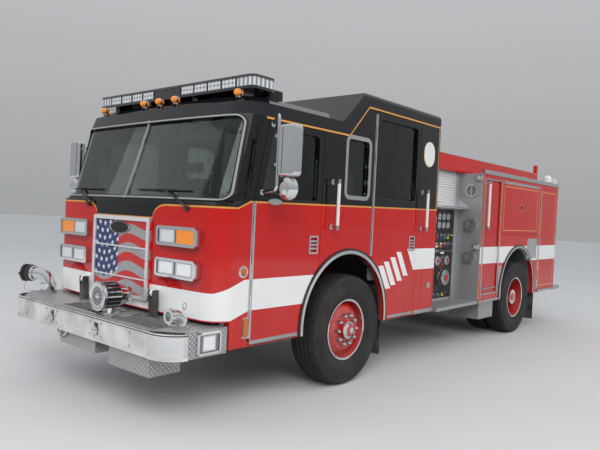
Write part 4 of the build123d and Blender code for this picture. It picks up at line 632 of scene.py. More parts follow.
def trim_look():
    """Bright rails, bands and steps of the body; the arch band's outer edge is rubber."""
    p = Paint("trim_look", rough=0.14, metal=1.0)
    arch = p.length(p.back - BODY_ARCH_Y, p.z - ARCH_Z)
    edge = p.between(arch, 0.677, 0.7, 0.001) & (p.z < 1.36) & (p.side > 1.249)
    grip = p.above(p.side, 1.308, 0.001) & p.between(p.z, 1.6, 2.16, 0.002) & (p.back < 4.0)
    steps = (p.back < 2.83) & (p.back > 2.7)
    return finish_rails(p, grip, edge, grip | edge | steps, 0.28, (0.58, 0.58, 0.59), 0.2)


chrome = metal_paint("chrome", (0.78, 0.79, 0.8), 0.05, smudge=0.1, scratch=0.02)
steel = metal_paint("brushed_steel", (0.6, 0.61, 0.62), 0.26, brush=(1.0, 1.0, 26.0))
satin = plain("satin_slats", (0.6, 0.6, 0.59), 0.35, grain=90.0, dirt=0.1, spread=0.08)
tread = treadplate()
flag_plate = treadplate("flag_plate", flag=True)
cab_paint = cab_livery()
body_paint = body_livery()
black_gloss = gloss("black_gloss", BLACK, 0.15).material
roof_paint = gloss("roof_paint", (0.008, 0.009, 0.011), 0.05).material
chassis_black = plain("chassis_black", (0.018, 0.018, 0.018), 0.55, dirt=0.7)
black_plastic = plain("black_plastic", (0.014, 0.014, 0.015), 0.42)
dark_rubber = plain("dark_rubber", (0.018, 0.018, 0.018), 0.7, dirt=0.4)
grey_trim = plain("grey_trim", (0.07, 0.07, 0.075), 0.6, dirt=0.0)
iron = plain("cast_iron", (0.035, 0.034, 0.033), 0.6, grain=60.0, depth=0.001, dirt=0.6)
panel_black = plain("panel_black", (0.014, 0.014, 0.015), 0.35, grain=400.0, dirt=0.1)
gauge_grey = plain("gauge_grey", (0.26, 0.265, 0.27), 0.3, grain=400.0, dirt=0.1)
white_plastic = plain("white_grip", (0.72, 0.72, 0.69), 0.4, dirt=0.2)
screen_glass = glass("screen_glass", (0.38, 0.45, 0.43))
tinted_glass = glass("tinted_glass", (0.16, 0.19, 0.185))
mirror_glass = metal_paint("mirror_glass", (0.85, 0.86, 0.87), 0.01, smudge=0.0, scratch=0.0, dirt=0.0)
clear_lens = lens("clear_lens", (0.8, 0.82, 0.84))
amber_lens = lens("amber_lens", (0.85, 0.22, 0.01))
red_lens = lens("red_lens", (0.6, 0.01, 0.01))
rubber = rubber_tyre()
seat_cloth = plain("seat_cloth", (0.03, 0.03, 0.034), 0.85, grain=700.0, depth=0.0008, dirt=0.0)
white_gloss = gloss("white_gloss", (0.78, 0.78, 0.76), 0.1).material
gold_line = gloss("gold_line", GOLD, 0.1).material
belt_web = plain("belt_web", (0.03, 0.03, 0.032), 0.8, grain=900.0, depth=0.0006, dirt=0.0)
dark_hose = plain("dark_hose", (0.022, 0.021, 0.02), 0.75, grain=420.0, depth=0.0012, dirt=0.3)

finishes = {  # a name without its side stands for the left and the right node
    cab_paint: "cab_shell door_front door_rear",
    roof_paint: "cab_roof",
    body_paint: "body_shell hatch locker_door rollup_doors",
    hose_bed_look(): "hose_bed",
    pump_house_look(): "pump_module",
    wheel_paint(): "rim_front rim_rear",
    tread: "body_treadplate bumper_deck running_boards underbody_boxes",
    cab_floor_look(): "cab_floor",
    chrome: "front_pipes lamp_bezels mirror",
    siren_look(): "siren",
    bumper_look(): "front_bumper",
    trim_look(): "body_trim",
    cab_rail_look(): "cab_rails",
    steel: "pump_fittings exhaust",
    screen_glass: "cab_glass",
    tinted_glass: "door_glass_front door_glass_rear",
    lamp_look(): "cab_lamps bumper_lamps",
    lightbar_look(): "lightbar",
    tail_lamp_look(): "rear_lamps",
    flag_plate: "grille",
    black_plastic: "suction_cap steering_wheel",
    panel_black: "pump_panels",
    grey_trim: "dashboard water_tank",
    chassis_black: "frame_rails",
    iron: "engine front_axle rear_axle knuckle",
    dark_rubber: "mud_flaps",
    seat_cloth: "seats",
    rubber: "tyre_front tyre_rear",
}
for material, names in finishes.items():
    for name in names.split():
        for node in [name] if name in NODES else [name + "_left", name + "_right"]:
            for slot in NODES[node].material_slots:
                slot.material = material

# Detail pieces. Lengths in metres; y counts from the front axle.


def show(name, data):
    """A new object in the scene."""
    made = bpy.data.objects.new(name, data)
    bpy.context.scene.collection.objects.link(made)
    return made


def circle(count):
    """Cosine and sine of equal steps round a full turn."""
    return [(math.cos(2 * math.pi * i / count), math.sin(2 * math.pi * i / count)) for i in range(count)]


def rounded(points, bend, steps=5):
    """A path whose inner corners are turned into curves that start bend before them."""
    points = [Vector(p) for p in points]
    out = [points[0]]
    for before, corner, after in zip(points, points[1:], points[2:]):
        a = corner + (before - corner).normalized() * min(bend, (before - corner).length / 2)
        b = corner + (after - corner).normalized() * min(bend, (after - corner).length / 2)
        for i in range(steps + 1):
            t = i / steps
            out.append(a.lerp(corner, t).lerp(corner.lerp(b, t), t))
    return out + [points[-1]]


def soft_box(u0, u1, v0, v1, r, steps=5):
    """The outline of a rectangle with round corners."""
    out = []
    corners = ((u1 - r, v1 - r, 0), (u0 + r, v1 - r, 90), (u0 + r, v0 + r, 180), (u1 - r, v0 + r, 270))
    for cu, cv, start in corners:
        for i in range(steps + 1):
            a = math.radians(start + 90 * i / steps)
            out.append((cu + r * math.cos(a), cv + r * math.sin(a)))
    return out


def oval(cu, cv, ru, rv):
    return [(cu + ru * c, cv + rv * s) for c, s in circle(40)]


def band(low, high, inner, outer):
    """The closed outline of a flat ring, to be turned."""
    return [(low, inner), (low, outer), (high, outer), (high, inner), (low, inner)]


def turned(angle, axis="X"):
    return Matrix.Rotation(angle, 3, axis)


def about(middle, half):
    return middle - half, middle + half


def grid(us, vs):
    return [(u, v) for u in us for v in vs]


class Kit:
    """Collects worked pieces of one material that ride on one body."""

    def __init__(self, name, material, body="chassis", hard=32):
        self.name, self.material, self.body, self.hard = name, material, body, hard
        self.work = bmesh.new()

    def bevel(self, edges, size, segments):
        """Breaks these edges. They are taken in their own order, so that each run gives the same mesh."""
        geom = list(dict.fromkeys(edges))
        bmesh.ops.bevel(self.work, geom=geom, offset=size, segments=segments, profile=0.5, affect="EDGES")

    def box(self, x, y, z, edge=0.0015, turn=None):
        """A box between the pairs x, y and z, its edges broken, turned about its middle."""
        made = bmesh.ops.create_cube(self.work, size=1.0)["verts"]
        middle = Vector([(a[0] + a[1]) / 2 for a in (x, y, z)])
        for vert in made:
            vert.co = Vector([c * abs(a[1] - a[0]) for a, c in zip((x, y, z), vert.co)])
            vert.co = (turn @ vert.co if turn else vert.co) + middle
        if edge:
            self.bevel((e for v in made for e in v.link_edges), edge, 2)

    def block(self, middle, half, edge=0.0015, turn=None):
        """A box from its middle and half its sizes."""
        self.box(*map(about, middle, half), edge, turn)

    def lathe(self, outline, at, axis="x", steps=28, turn=None):
        """An outline of (along, radius) turned about the line through at."""
        rings = []
        for c, s in circle(steps):
            ring = []
            for along, r in outline:
                spots = ((along, r * c, r * s), (r * s, along, r * c), (r * c, r * s, along))
                spot = spots["xyz".index(axis)]
                spot = turn @ Vector(spot) if turn else Vector(spot)
                ring.append(self.work.verts.new(spot + Vector(at)))
            rings.append(ring)
        self.skin(rings)

    def skin(self, rings, wrap=False, loop=True):
        """Faces between neighbouring rings; wrap closes each ring, loop joins the last to the first."""
        for a, b in zip(rings, rings[1:] + rings[:1] if loop else rings[1:]):
            for i in range(len(a) if wrap else len(a) - 1):
                j = (i + 1) % len(a)
                self.work.faces.new((a[i], a[j], b[j], b[i]))

    def tube(self, points, radius, sides=10, bend=0.0):
        """A round bar along a path."""
        line = rounded(points, bend) if bend else [Vector(p) for p in points]
        rings, side = [], None
        for i, spot in enumerate(line):
            ahead = (line[min(i + 1, len(line) - 1)] - line[max(i - 1, 0)]).normalized()
            side = ahead.orthogonal() if side is None else side - ahead * side.dot(ahead)
            side.normalize()
            up = ahead.cross(side)
            rings.append([self.work.verts.new(spot + (side * c + up * s) * radius) for c, s in circle(sides)])
        self.skin(rings, wrap=True, loop=False)
        self.work.faces.new(rings[0][::-1])
        self.work.faces.new(rings[-1])

    def plate(self, outline, axis, low, high, edge=0.001):
        """A flat outline in the other two axes, from low to high along this one."""
        k = "xyz".index(axis)
        rings = []
        for level in (low, high):
            spots = [[*spot[:k], level, *spot[k:]] for spot in outline]
            rings.append([self.work.verts.new(spot) for spot in spots])
        faces = [self.work.faces.new(rings[0]), self.work.faces.new(rings[1][::-1])]
        self.skin(rings, wrap=True, loop=False)
        if edge:
            self.bevel((e for f in faces for e in f.edges), edge, 1)

    def pad(self, sides, *rest):
        """A plate with round corners: its four sides and corner radius, then axis, low, high and edge."""
        self.plate(soft_box(*sides), *rest)

    def bolts(self, spots, axis, base, size=0.009, height=0.005):
        """Domed bolt heads on a face; spots are in the other two axes, height has its sign."""
        k = "xyz".index(axis)
        outline = [(height * a, size * r) for a, r in ((-0.3, 1), (0, 1), (0.5, 0.9), (0.85, 0.55), (1, 0))]
        for spot in spots:
            self.lathe(outline, (*spot[:k], base, *spot[k:]), axis, 12)

    def tyre(self, x, y, width, steps=180):
        """A ribbed road tyre: zigzag grooves, notched shoulders and ringed walls."""
        w = width / 2
        wall = [(0.117, 0.287), (0.117, 0.303)]
        wall += [(w - inset, r) for inset, r in (
            (0.021, 0.33), (0.007, 0.362), (0.001, 0.395), (0, 0.412), (0.001, 0.43), (0.004, 0.432),
            (0.004, 0.438), (0.002, 0.44), (0.005, 0.468), (0.009, 0.47), (0.009, 0.476), (0.007, 0.478),
            (0.01, 0.504), (0.014, 0.518), (0.019, 0.525), (0.028, 0.5295))]
        top = w - 0.028
        crest = TYRE_R - 0.0002
        tread = []
        for g in (0.58, 0.2, -0.2, -0.58):
            for dx, deep in ((0.0065, 0.0), (0.004, 0.014), (-0.004, 0.014), (-0.0065, 0.0)):
                tread.append((g * top + dx, deep))
        rings = []
        for i, (c, s) in enumerate(circle(steps)):
            sway = 0.0035 * (abs(i % 6 - 3) / 1.5 - 1.0)
            drop = 0.007 if i % 3 == 0 else 0.0
            edge = [(across, r - (drop if r > 0.519 else 0.0)) for across, r in wall]
            crown = [(across + sway, crest - 0.008 * (across / top) ** 2 - deep) for across, deep in tread]
            ring = edge + crown + [(-across, r) for across, r in reversed(edge)]
            rings.append([self.work.verts.new((x + u, y + r * s, TYRE_R + r * c)) for u, r in ring])
        self.skin(rings, wrap=True)

    def done(self, both=False, flip=False):
        """Makes the object; both adds the mirror image to it, flip makes it the mirror image."""
        work = self.work
        if both:
            made = bmesh.ops.duplicate(work, geom=work.verts[:] + work.edges[:] + work.faces[:])["geom"]
            for part in made:
                if isinstance(part, bmesh.types.BMVert):
                    part.co.x *= -1
        for vert in work.verts:
            vert.co.y += AXLE
            if flip:
                vert.co.x *= -1
        bmesh.ops.remove_doubles(work, verts=work.verts[:], dist=0.00002)
        bmesh.ops.recalc_face_normals(work, faces=work.faces[:])
        mesh = bpy.data.meshes.new(self.name)
        work.to_mesh(mesh)
        work.free()
        mesh.materials.append(self.material)
        mesh.shade_smooth()
        mesh.set_sharp_from_angle(angle=math.radians(self.hard))
        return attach(show(self.name, mesh), self.body)


SIDES = (("left", False), ("right", True))
BOTH = (-1, 1)
CAB_IN = 1.2195           # x half a millimetre inside the cab's side face
CAB_OUT = 1.2205          # and half a millimetre outside it
SILL_X = (1.2202, 1.2232)
BODY_IN = 1.2498          # x just inside the body's side face
REAR_IN = 5.8775          # y just inside the body's rear face


def on_both(name, material, body, make):
    """A piece on the left body, and its mirror image on the right one."""
    for side, flip in SIDES:
        kit = Kit(name + "_" + side, material, body + "_" + side)
        make(kit)
        kit.done(flip=flip)


# Tyres, wheels and running gear

WHEELS = {  # end: y, the tyres' middles and width, x of the valve, the nut covers and the small bolts
    "front": (0.0, (1.043,), 0.314, 1.16, 1.153, 1.149),
    "rear": (WHEELBASE, (1.083, 0.741), 0.29, 1.02, 0.921, 0.914),
}
for side, flip in SIDES:
    for end, (y, middles, width, x, nut, bolt) in WHEELS.items():
        body = "wheel_" + end + "_" + side
        kit = Kit("tread_" + end + "_" + side, rubber, body, hard=45)
        for middle in middles:
            kit.tyre(middle, y, width)
        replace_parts(kit.done(flip=flip), "tyre_" + end + "_" + side)
        kit = Kit("valve_" + end + "_" + side, chrome, body)
        stem = ((x - 0.03, 0.235, 0.1), (x + 0.005, 0.235, 0.1), (x + 0.02, 0.22, 0.09))
        kit.tube([(u, y + v, TYRE_R + w) for u, v, w in stem], 0.004, 8, 0.01)
        outline = [(0, 0), (0, 0.006), (0.014, 0.006), (0.016, 0)]
        kit.lathe(outline, (x + 0.012, y + 0.224, TYRE_R + 0.095), "x", 10)
        if end == "front":
            kit.lathe([(1.2345, 0.0), (1.2345, 0.03), (1.2375, 0.028), (1.239, 0.0)], (0, y, TYRE_R), "x", 32)
        cover = [(nut, 0.025), (nut + 0.008, 0.023), (nut + 0.034, 0.0195), (nut + 0.048, 0.011),
                 (nut + 0.051, 0)]
        small = [(bolt, 0.0065), (bolt + 0.004, 0.006), (bolt + 0.005, 0)]
        for i, (c, s) in enumerate(circle(20)):
            outline, r, steps = (small, 0.192, 8) if i % 2 else (cover, 0.143, 18)
            kit.lathe(outline, (0, y + r * c, TYRE_R + r * s), "x", steps)
        kit.done(flip=flip)

kit = Kit("brake_gear", iron)
chamber = [(0.1, 0.0), (0.1, 0.07), (0.16, 0.082), (0.168, 0.088), (0.176, 0.082), (0.235, 0.07),
           (0.245, 0.0)]
for y, x in ((0.0, 0.62), (WHEELBASE, 0.5)):
    for s in BOTH:
        kit.lathe(chamber, (s * x, y, 0.6), "y", 24)
        kit.tube([(s * x, y + 0.04, 0.6), (s * x, y + 0.11, 0.6)], 0.014, 10)
kit.done()
kit = Kit("air_tanks", chassis_black)
for y0, y1 in ((1.86, 2.3), (2.36, 2.76)):
    dome = ((0, 0), (0.008, 0.05), (0.03, 0.09), (0.05, 0.1))
    kit.lathe([(y0 + a, r) for a, r in dome] + [(y1 - a, r) for a, r in dome[::-1]], (0.6, 0, 0.49), "y", 28)
    for y in (y0 + 0.1, y1 - 0.1):
        kit.lathe(band(y - 0.02, y + 0.02, 0.1005, 0.104)[:4], (0.6, 0, 0.49), "y", 28)
        kit.box((0.425, 0.6), about(y, 0.02), (0.588, 0.6))
kit.done()
kit = Kit("air_lines", dark_rubber)
for s in BOTH:
    front = ((0.42, 0.3, 0.66), (0.46, 0.26, 0.58), (0.62, 0.235, 0.6))
    rear = ((0.36, 3.8, 0.7), (0.3, 4.05, 0.74), (0.4, 4.3, 0.72), (0.5, 4.48, 0.6))
    for line, bend in ((front, 0.06), (rear, 0.08)):
        kit.tube([(s * x, y, z) for x, y, z in line], 0.007, 8, bend)
kit.tube([(0.55, 1.86, 0.52), (0.5, 1.4, 0.62), (0.45, 0.8, 0.72), (0.42, 0.3, 0.66)], 0.006, 8, 0.1)
kit.done()

# The bumper, its deck and what stands on it

PIPE = (1.07, -1.935)      # x and y of the discharge pipe's collar
SUCTION = (-1.11, -1.902)  # and of the intake pipe's
CAP = Vector((-1.2608, -1.9914, 0.938))  # middle of the intake's cap

kit = Kit("bumper_bolts", steel)
kit.bolts(grid((-0.93, -0.54, -0.35, 0.2, 0.36, 0.76), (0.606, 0.704)), "y", -2.192, 0.01, -0.006)
kit.bolts(grid((-0.9, -0.45, 0.05, 0.55, 0.95), (-2.1, -1.66)), "z", 0.76, 0.006, 0.003)
for s in BOTH:
    kit.bolts(grid((-1.92, -1.72), (0.59, 0.733)), "x", s * 1.246, 0.006, s * 0.003)
kit.done()
kit = Kit("deck_lips", chrome)
for x0, x1 in ((-0.341, 0.231), (0.434, 0.971)):
    for x in (x0, x1):
        kit.tube([(x, -2.152, 0.764), (x, -1.876, 0.764)], 0.006, 8)
    for y in (-2.158, -1.87):
        kit.tube([(x0, y, 0.764), (x1, y, 0.764)], 0.006, 8)
kit.lathe(band(-0.004, 0.004, 0.018, 0.024), (*PIPE, 0.927), "y", 24)
kit.lathe([(0.895, 0.01), (0.905, 0.012), (0.906, 0.0)], (*PIPE, 0), "z", 14)
for c, s in circle(12)[1::4]:
    kit.box(about(PIPE[0] + 0.06 * c, 0.01), (-2.076, -2.054), about(0.86 + 0.06 * s, 0.01))
kit.lathe(band(-0.02, 0.02, 0.07, 0.078), (*SUCTION, 0.83), "z", 32)
for c, s in circle(8):
    kit.lathe([(0.776, 0.008), (0.786, 0.008), (0.788, 0.0)],
              (SUCTION[0] + 0.071 * c, SUCTION[1] + 0.071 * s, 0), "z", 6)
    kit.lathe([(0.776, 0.006), (0.784, 0.006), (0.786, 0.0)],
              (PIPE[0] + 0.053 * c, PIPE[1] - 0.015 + 0.053 * s, 0), "z", 6)
for r in (0.04, 0.056, 0.07):
    kit.lathe(band(-2.2015, -2.19, r, r + 0.005), SIREN, "y", 40)
kit.lathe([(-2.2, 0.024), (-2.206, 0.02), (-2.21, 0.01), (-2.211, 0.0)], SIREN, "y", 24)
kit.done()
kit = Kit("tow_bulbs", chrome)
for x in (-0.44, 0.29):
    outline = [(-0.031 * c, 0.031 * s) for c, s in circle(20)[:11]]
    kit.lathe(outline, (x, -2.2, 0.64), "y", 28, Matrix.Diagonal((1.0, 1.0, 1.35)))
kit.done()
kit = Kit("cap_lugs", black_plastic)
turn = turned(math.atan2(-0.51, -0.86), "Z")
for i in range(12):
    spin = turned(2 * math.pi * i / 12)
    kit.block(CAP + turn @ (spin @ Vector((0.043, 0, 0.076))), (0.018, 0.004, 0.005), 0.0015, turn @ spin)
for s in BOTH:
    kit.block(CAP + turn @ Vector((0.071, s * 0.088, 0)), (0.009, 0.014, 0.009), 0.003, turn)
kit.done()
kit = Kit("well_hooks", metal_paint("brass", (0.62, 0.46, 0.22), 0.25))
hook = ((-2.15, 0.752), (-2.128, 0.752), (-2.122, 0.728), (-2.138, 0.716), (-2.147, 0.728))
for x in (-0.24, -0.12, 0.06, 0.18, 0.56, 0.66, 0.86):
    kit.tube([(x, y, z) for y, z in hook], 0.0045, 8, 0.01)
    kit.box(about(x, 0.012), (-2.151, -2.148), (0.712, 0.758), 0.001)
kit.done()


def line_curve(name, points, radius, material, body="chassis", fine=8):
    """A smooth line through control points, swept with a round section."""
    data = bpy.data.curves.new(name, "CURVE")
    data.dimensions = "3D"
    data.bevel_depth = radius
    data.bevel_resolution = 3
    data.resolution_u = fine
    spline = data.splines.new("NURBS")
    spline.points.add(len(points) - 1)
    for point, (x, y, z) in zip(spline.points, points):
        point.co = (x, y + AXLE, z, 1.0)
    spline.order_u = 3
    spline.use_endpoint_u = True
    data.materials.append(material)
    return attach(show(name, data), body)


def curve_length(points):
    """Length of the quadratic spline that a curve of order 3 draws through these control points."""
    spots = [Vector(p) for p in points]
    mids = [spots[0]] + [(a + b) / 2 for a, b in zip(spots[1:], spots[2:-1])] + [spots[-1]]
    total = 0.0
    for start, control, end in zip(mids, spots[1:-1], mids[1:]):
        last = start
        for i in range(1, 13):
            t = i / 12
            spot = start.lerp(control, t).lerp(control.lerp(end, t), t)
            total += (spot - last).length
            last = spot
    return total


lanyard = [(-1.312, -2.023, 0.854), (-1.335, -2.036, 0.8), (-1.318, -2.04, 0.766), (-1.262, -2.025, 0.7655),
           (-1.205, -1.985, 0.7655), (-1.176, -1.95, 0.77), (-1.16, -1.93, 0.772)]
cap_line = line_curve("cap_lanyard", lanyard, 0.0022, steel)
curve_length(lanyard)

# The hose in the middle well: a flat coil, out and in again layer by layer, on a slatted floor

HOSE = 0.025
GAP = 0.028               # from one turn's middle to the next one's
WELL = (-0.055, -2.014)   # x and y of the well's middle
WIDEST = 0.122            # from the coil's straight core to its outermost turn
SLATS_TOP = 0.565
LAYERS = 5
STEPS = 24                # points in a turn


def round_the_well(turn, out):
    """The point of an oval, this share of a turn round it and this far out from its straight core."""
    straight, arc = 0.284, math.pi * out
    way = (turn % 1.0) * 2 * (straight + arc)
    side = 1 if way < straight + arc else -1
    way -= 0 if side == 1 else straight + arc
    if way < straight:
        x, y = way - straight / 2, -out
    else:
        x, y = straight / 2 + out * math.sin((way - straight) / out), -out * math.cos((way - straight) / out)
    return WELL[0] + x * side, WELL[1] + y * side


low = SLATS_TOP + HOSE / 2 + 0.0005
coil = [(x, WELL[1] - WIDEST, low) for x in (-0.334, -0.27)]
step = 0
for layer in range(LAYERS):
    z = low + layer * GAP
    for i in range(STEPS):
        inward = i / STEPS if layer % 2 == 0 else 1 - i / STEPS
        coil.append((*round_the_well(step / STEPS, WIDEST - GAP * inward), z))
        step += 1
    rise = 8 if layer < LAYERS - 1 else 4
    for i in range(rise):
        coil.append((*round_the_well(step / STEPS, WIDEST - GAP * (1 - layer % 2)), z + GAP * i / rise))
        step += 1
z = low + LAYERS * GAP + 0.004
coil += [(WELL[0] + x, WELL[1] + 0.094, z) for x in (0.142, 0.112, 0.082)]
well_hose = line_curve("well_hose", coil, HOSE / 2, dark_hose, fine=3)
kit = Kit("hose_nozzle", chrome)
kit.lathe([(0.01, 0.0), (0.01, 0.0165), (-0.024, 0.0165), (-0.028, 0.014), (-0.088, 0.013), (-0.094, 0.018),
           (-0.126, 0.018), (-0.13, 0.012), (-0.15, 0.01), (-0.15, 0.0)], coil[-1], "x", 24)
nozzle = kit.done()
coil[0][1] + AXLE
curve_length(coil)
kit = Kit("well_slats", tread)
for i in range(7):
    y = -2.148 + i * 0.0392
    kit.box((-0.331, 0.221), (y, y + 0.03), (0.553, SLATS_TOP), 0.002)
for x in (-0.32, -0.055, 0.21):
    kit.box(about(x, 0.005), (-2.146, -1.884), (0.4475, 0.5535), 0.001)
kit.done()

# Cab front: plaque, wipers, mirrors, markers and trims


def screen_tree():
    """The windshield's surface, to seat the wipers on."""
    mesh = NODES["cab_glass"].data
    return BVHTree.FromPolygons([v.co for v in mesh.vertices], [p.vertices for p in mesh.polygons])


SCREEN = screen_tree()


def on_screen(x, z, off=0.0):
    """The point of the windshield at x and z, lifted off it."""
    spot, normal, _, _ = SCREEN.ray_cast(Vector((x, -6.0, z)), Vector((0, 1, 0)))
    spot = spot + normal * (off if normal.y < 0 else -off)
    spot.y -= AXLE
    return spot


kit = Kit("wipers", black_plastic, "cab")
for base, grip, ends in ((0.863, 0.52, (0.16, 0.84)), (-0.556, -0.85, (-1.06, -0.4))):
    pivot = Vector((base, -1.815 if abs(base) < 0.7 else -1.786, 1.655))
    kit.lathe([(-0.03, 0.024), (0.012, 0.022), (0.018, 0.014), (0.019, 0.0)], pivot, "y", 18, turned(math.pi))
    hold = on_screen(grip, 1.8, 0.03)
    for dx in (-0.012, 0.012):
        arm = ((pivot, -0.01, 0), (pivot, -0.03, 0.03), (hold, -0.004, 0))
        kit.tube([spot + Vector((dx, dy, dz)) for spot, dy, dz in arm], 0.0045, 8, 0.02)
    spots = [ends[0] + (ends[1] - ends[0]) * i / 16 for i in range(17)]
    kit.tube([on_screen(x, 1.795, 0.014) for x in spots], 0.006, 8)
    kit.tube([on_screen(x, 1.795, 0.005) for x in spots], 0.003, 6)
    for a, b in ((2, 14), (5, 11)):
        yoke = ((spots[a], 1.795, 0.014), ((spots[a] + spots[b]) / 2, 1.797, 0.028), (spots[b], 1.795, 0.014))
        kit.tube([on_screen(*spot) for spot in yoke], 0.004, 6)
kit.done()

kit = Kit("plaque", black_gloss, "cab")
kit.plate(oval(-0.012, 1.462, 0.15, 0.052), "y", -1.826, -1.816, 0.003)
kit.done()
kit = Kit("plaque_rim", chrome, "cab")
outline = [(-0.002, 0.93), (-0.006, 0.95), (-0.006, 1.0), (0.0, 1.02), (0.003, 1.0), (-0.002, 0.93)]
kit.lathe(outline, (0, 0, 0), "y", 64)
for vert in kit.work.verts:
    vert.co.x = vert.co.x * 0.15 - 0.012
    vert.co.z = vert.co.z * 0.052 + 1.462
    vert.co.y -= 1.824
kit.bolts(grid((-0.405, 0.405), (0.9, 1.05, 1.2, 1.35, 1.5)), "y", -1.832, 0.006, -0.004)
kit.done()


def mirror_glasses(kit):
    """The flat glass, and the domed one below it."""
    kit.pad((1.488, 1.652, 1.948, 2.312, 0.028), "y", -1.3675, -1.3655, 0.0005)
    outline = [(-1.3845, 0.082), (-1.3815, 0.078), (-1.3765, 0.05), (-1.375, 0.02), (-1.3748, 0.0)]
    kit.lathe(outline, (1.57, 0, 1.842), "y", 40)


def mirror_gaskets(kit):
    kit.pad((1.48, 1.66, 1.94, 2.32, 0.034), "y", -1.369, -1.3672, 0.0006)
    kit.box((1.5225, 1.5265), (-1.436, -1.4335), (1.955, 2.305), 0.0008)
    for z in (2.03, 2.25):
        kit.lathe([(-0.008, 0.0125), (0.008, 0.0125), (0.01, 0.009), (0.01, 0.0)], (1.4, -1.345, z), "z", 16)


on_both("mirror_glass", mirror_glass, "door_front", mirror_glasses)
on_both("mirror_gasket", dark_rubber, "door_front", mirror_gaskets)
badge = oval(-1.16, 1.742, 0.082, 0.026)
on_both("side_badge", chrome, "door_front", lambda kit: kit.plate(badge, "x", CAB_OUT, 1.2245, 0.0015))
sill = (0.585, 0.618)
on_both("sill_plate", tread, "door_front", lambda kit: kit.box(SILL_X, (-1.385, -0.8), sill, 0.0008))
on_both("sill_plate_rear", tread, "door_rear", lambda kit: kit.box(SILL_X, (0.655, 1.165), sill, 0.0008))
kit = Kit("sill_plate_cab", tread, "cab")
kit.box(SILL_X, (1.19, 1.62), (0.576, 0.618), 0.0008)
kit.done(both=True)

kit = Kit("marker_rims", chrome, "cab")
outline = [(CAB_IN, 0.05), (1.2235, 0.048), (1.2265, 0.04), (1.2255, 0.034), (CAB_IN, 0.034)]
kit.lathe(outline, (0, -1.485, 1.175), "x", 36)
kit.pad((-1.474, -1.406, 0.644, 0.81, 0.014), "x", CAB_IN, 1.2235, 0.0015)
for x in (-1.0, -0.235, 0.0, 0.235, 1.0):
    y = -1.572 + (0.11 if abs(x) > 0.9 else 0.06)
    outline = [(-0.002, 0.0335), (0.006, 0.0365), (0.014, 0.0365), (0.02, 0.0335)]
    kit.lathe(outline, (x, y + 0.03, 2.616), "y", 24)
    kit.lathe([(2.575, 0.03), (2.59, 0.022), (2.602, 0.014)], (x, y + 0.05, 0), "z", 16)
kit.done(both=True)
kit = Kit("side_markers", amber_lens, "cab")
kit.lathe([(CAB_IN, 0.034), (1.2275, 0.033), (1.2345, 0.022), (1.2365, 0.0)], (0, -1.485, 1.175), "x", 32)
kit.pad((-1.466, -1.414, 0.652, 0.802, 0.012), "x", CAB_IN, 1.2315, 0.003)
kit.done(both=True)
kit = Kit("emblem_plaque", white_gloss, "cab")
kit.pad((1.27, 1.502, 2.262, 2.536, 0.112, 10), "x", CAB_IN, 1.2245, 0.0015)
kit.done(both=True)
kit = Kit("emblem_rim", gold_line, "cab")
kit.pad((1.263, 1.509, 2.255, 2.543, 0.119, 10), "x", CAB_IN, 1.2225, 0.0008)
kit.done(both=True)


def door_seals(kit):
    """A rubber lip along the inside of the front door's window."""
    kit.tube([(CAB_OUT, -1.312, 1.762), (CAB_OUT, -0.604, 1.762)], 0.0045, 6)
    kit.tube([(CAB_OUT, -0.596, 1.775), (CAB_OUT, -0.596, 2.345)], 0.0035, 6)
    kit.tube([(CAB_OUT, -1.322, 1.775), (CAB_OUT, -1.204, 2.35)], 0.0035, 6)


def rear_seals(kit):
    """The frame of the rear door's window, with its sliding bar."""
    frame_line = [(CAB_OUT, y, z) for y, z in soft_box(0.34, 1.12, 1.84, 2.66, 0.055)]
    kit.tube(frame_line + frame_line[:2], 0.005, 6)
    kit.box((1.184, 1.196), (0.722, 0.738), (1.85, 2.65))


on_both("window_lip", dark_rubber, "door_front", door_seals)
on_both("window_frame", dark_rubber, "door_rear", rear_seals)

# Cab inside


def door_card(kit):
    kit.pad((-1.365, -0.585, 1.215, 1.725, 0.03), "x", 1.15, 1.1598, 0.003)
    kit.box((1.096, 1.152), (-1.12, -0.7), (1.42, 1.462), 0.01)
    path = [(1.15, -1.25, 1.56), (1.118, -1.25, 1.56), (1.118, -1.25, 1.68), (1.15, -1.25, 1.68)]
    kit.tube(path, 0.01, 8, 0.02)


def rear_card(kit):
    kit.pad((0.335, 1.12, 1.0, 1.8, 0.03), "x", 1.15, 1.1598, 0.003)
    kit.box((1.1, 1.152), (0.48, 0.86), (1.48, 1.52), 0.01)


on_both("door_card", grey_trim, "door_front", door_card)
on_both("door_card_rear", grey_trim, "door_rear", rear_card)
kit = Kit("dash_pieces", grey_trim, "cab")
kit.box((0.345, 0.855), (-1.56, -1.405), (1.662, 1.752), 0.022)
kit.box((-0.23, 0.23), (-1.13, -0.7), (1.4405, 1.56), 0.02)
kit.box((-0.18, 0.18), (-1.48, -1.385), (1.64, 1.78), 0.014)
for s in BOTH:
    kit.box(about(s * 0.56, 0.3), (-1.452, -1.432), (2.24, 2.38), 0.008, turned(-0.3))
for x in (0.53, 0.71):
    kit.box(about(x, 0.03), (-1.44, -1.4), (0.99, 1.12), 0.006, turned(-0.5))
kit.done()
kit = Kit("dash_bezels", chrome, "cab")
marks = Kit("dash_dials", white_plastic, "cab")
for x, r in ((0.425, 0.024), (0.5, 0.034), (0.6, 0.04), (0.7, 0.034), (0.775, 0.024)):
    outline = [(-1.406, r), (-1.402, r + 0.001), (-1.399, r + 0.004), (-1.406, r + 0.006)]
    kit.lathe(outline, (x, 0, 1.706), "y", 28)
    marks.lathe([(-1.4052, 0.0), (-1.4035, 0.0), (-1.4035, r - 0.001), (-1.4052, r)], (x, 0, 1.706), "y", 28)
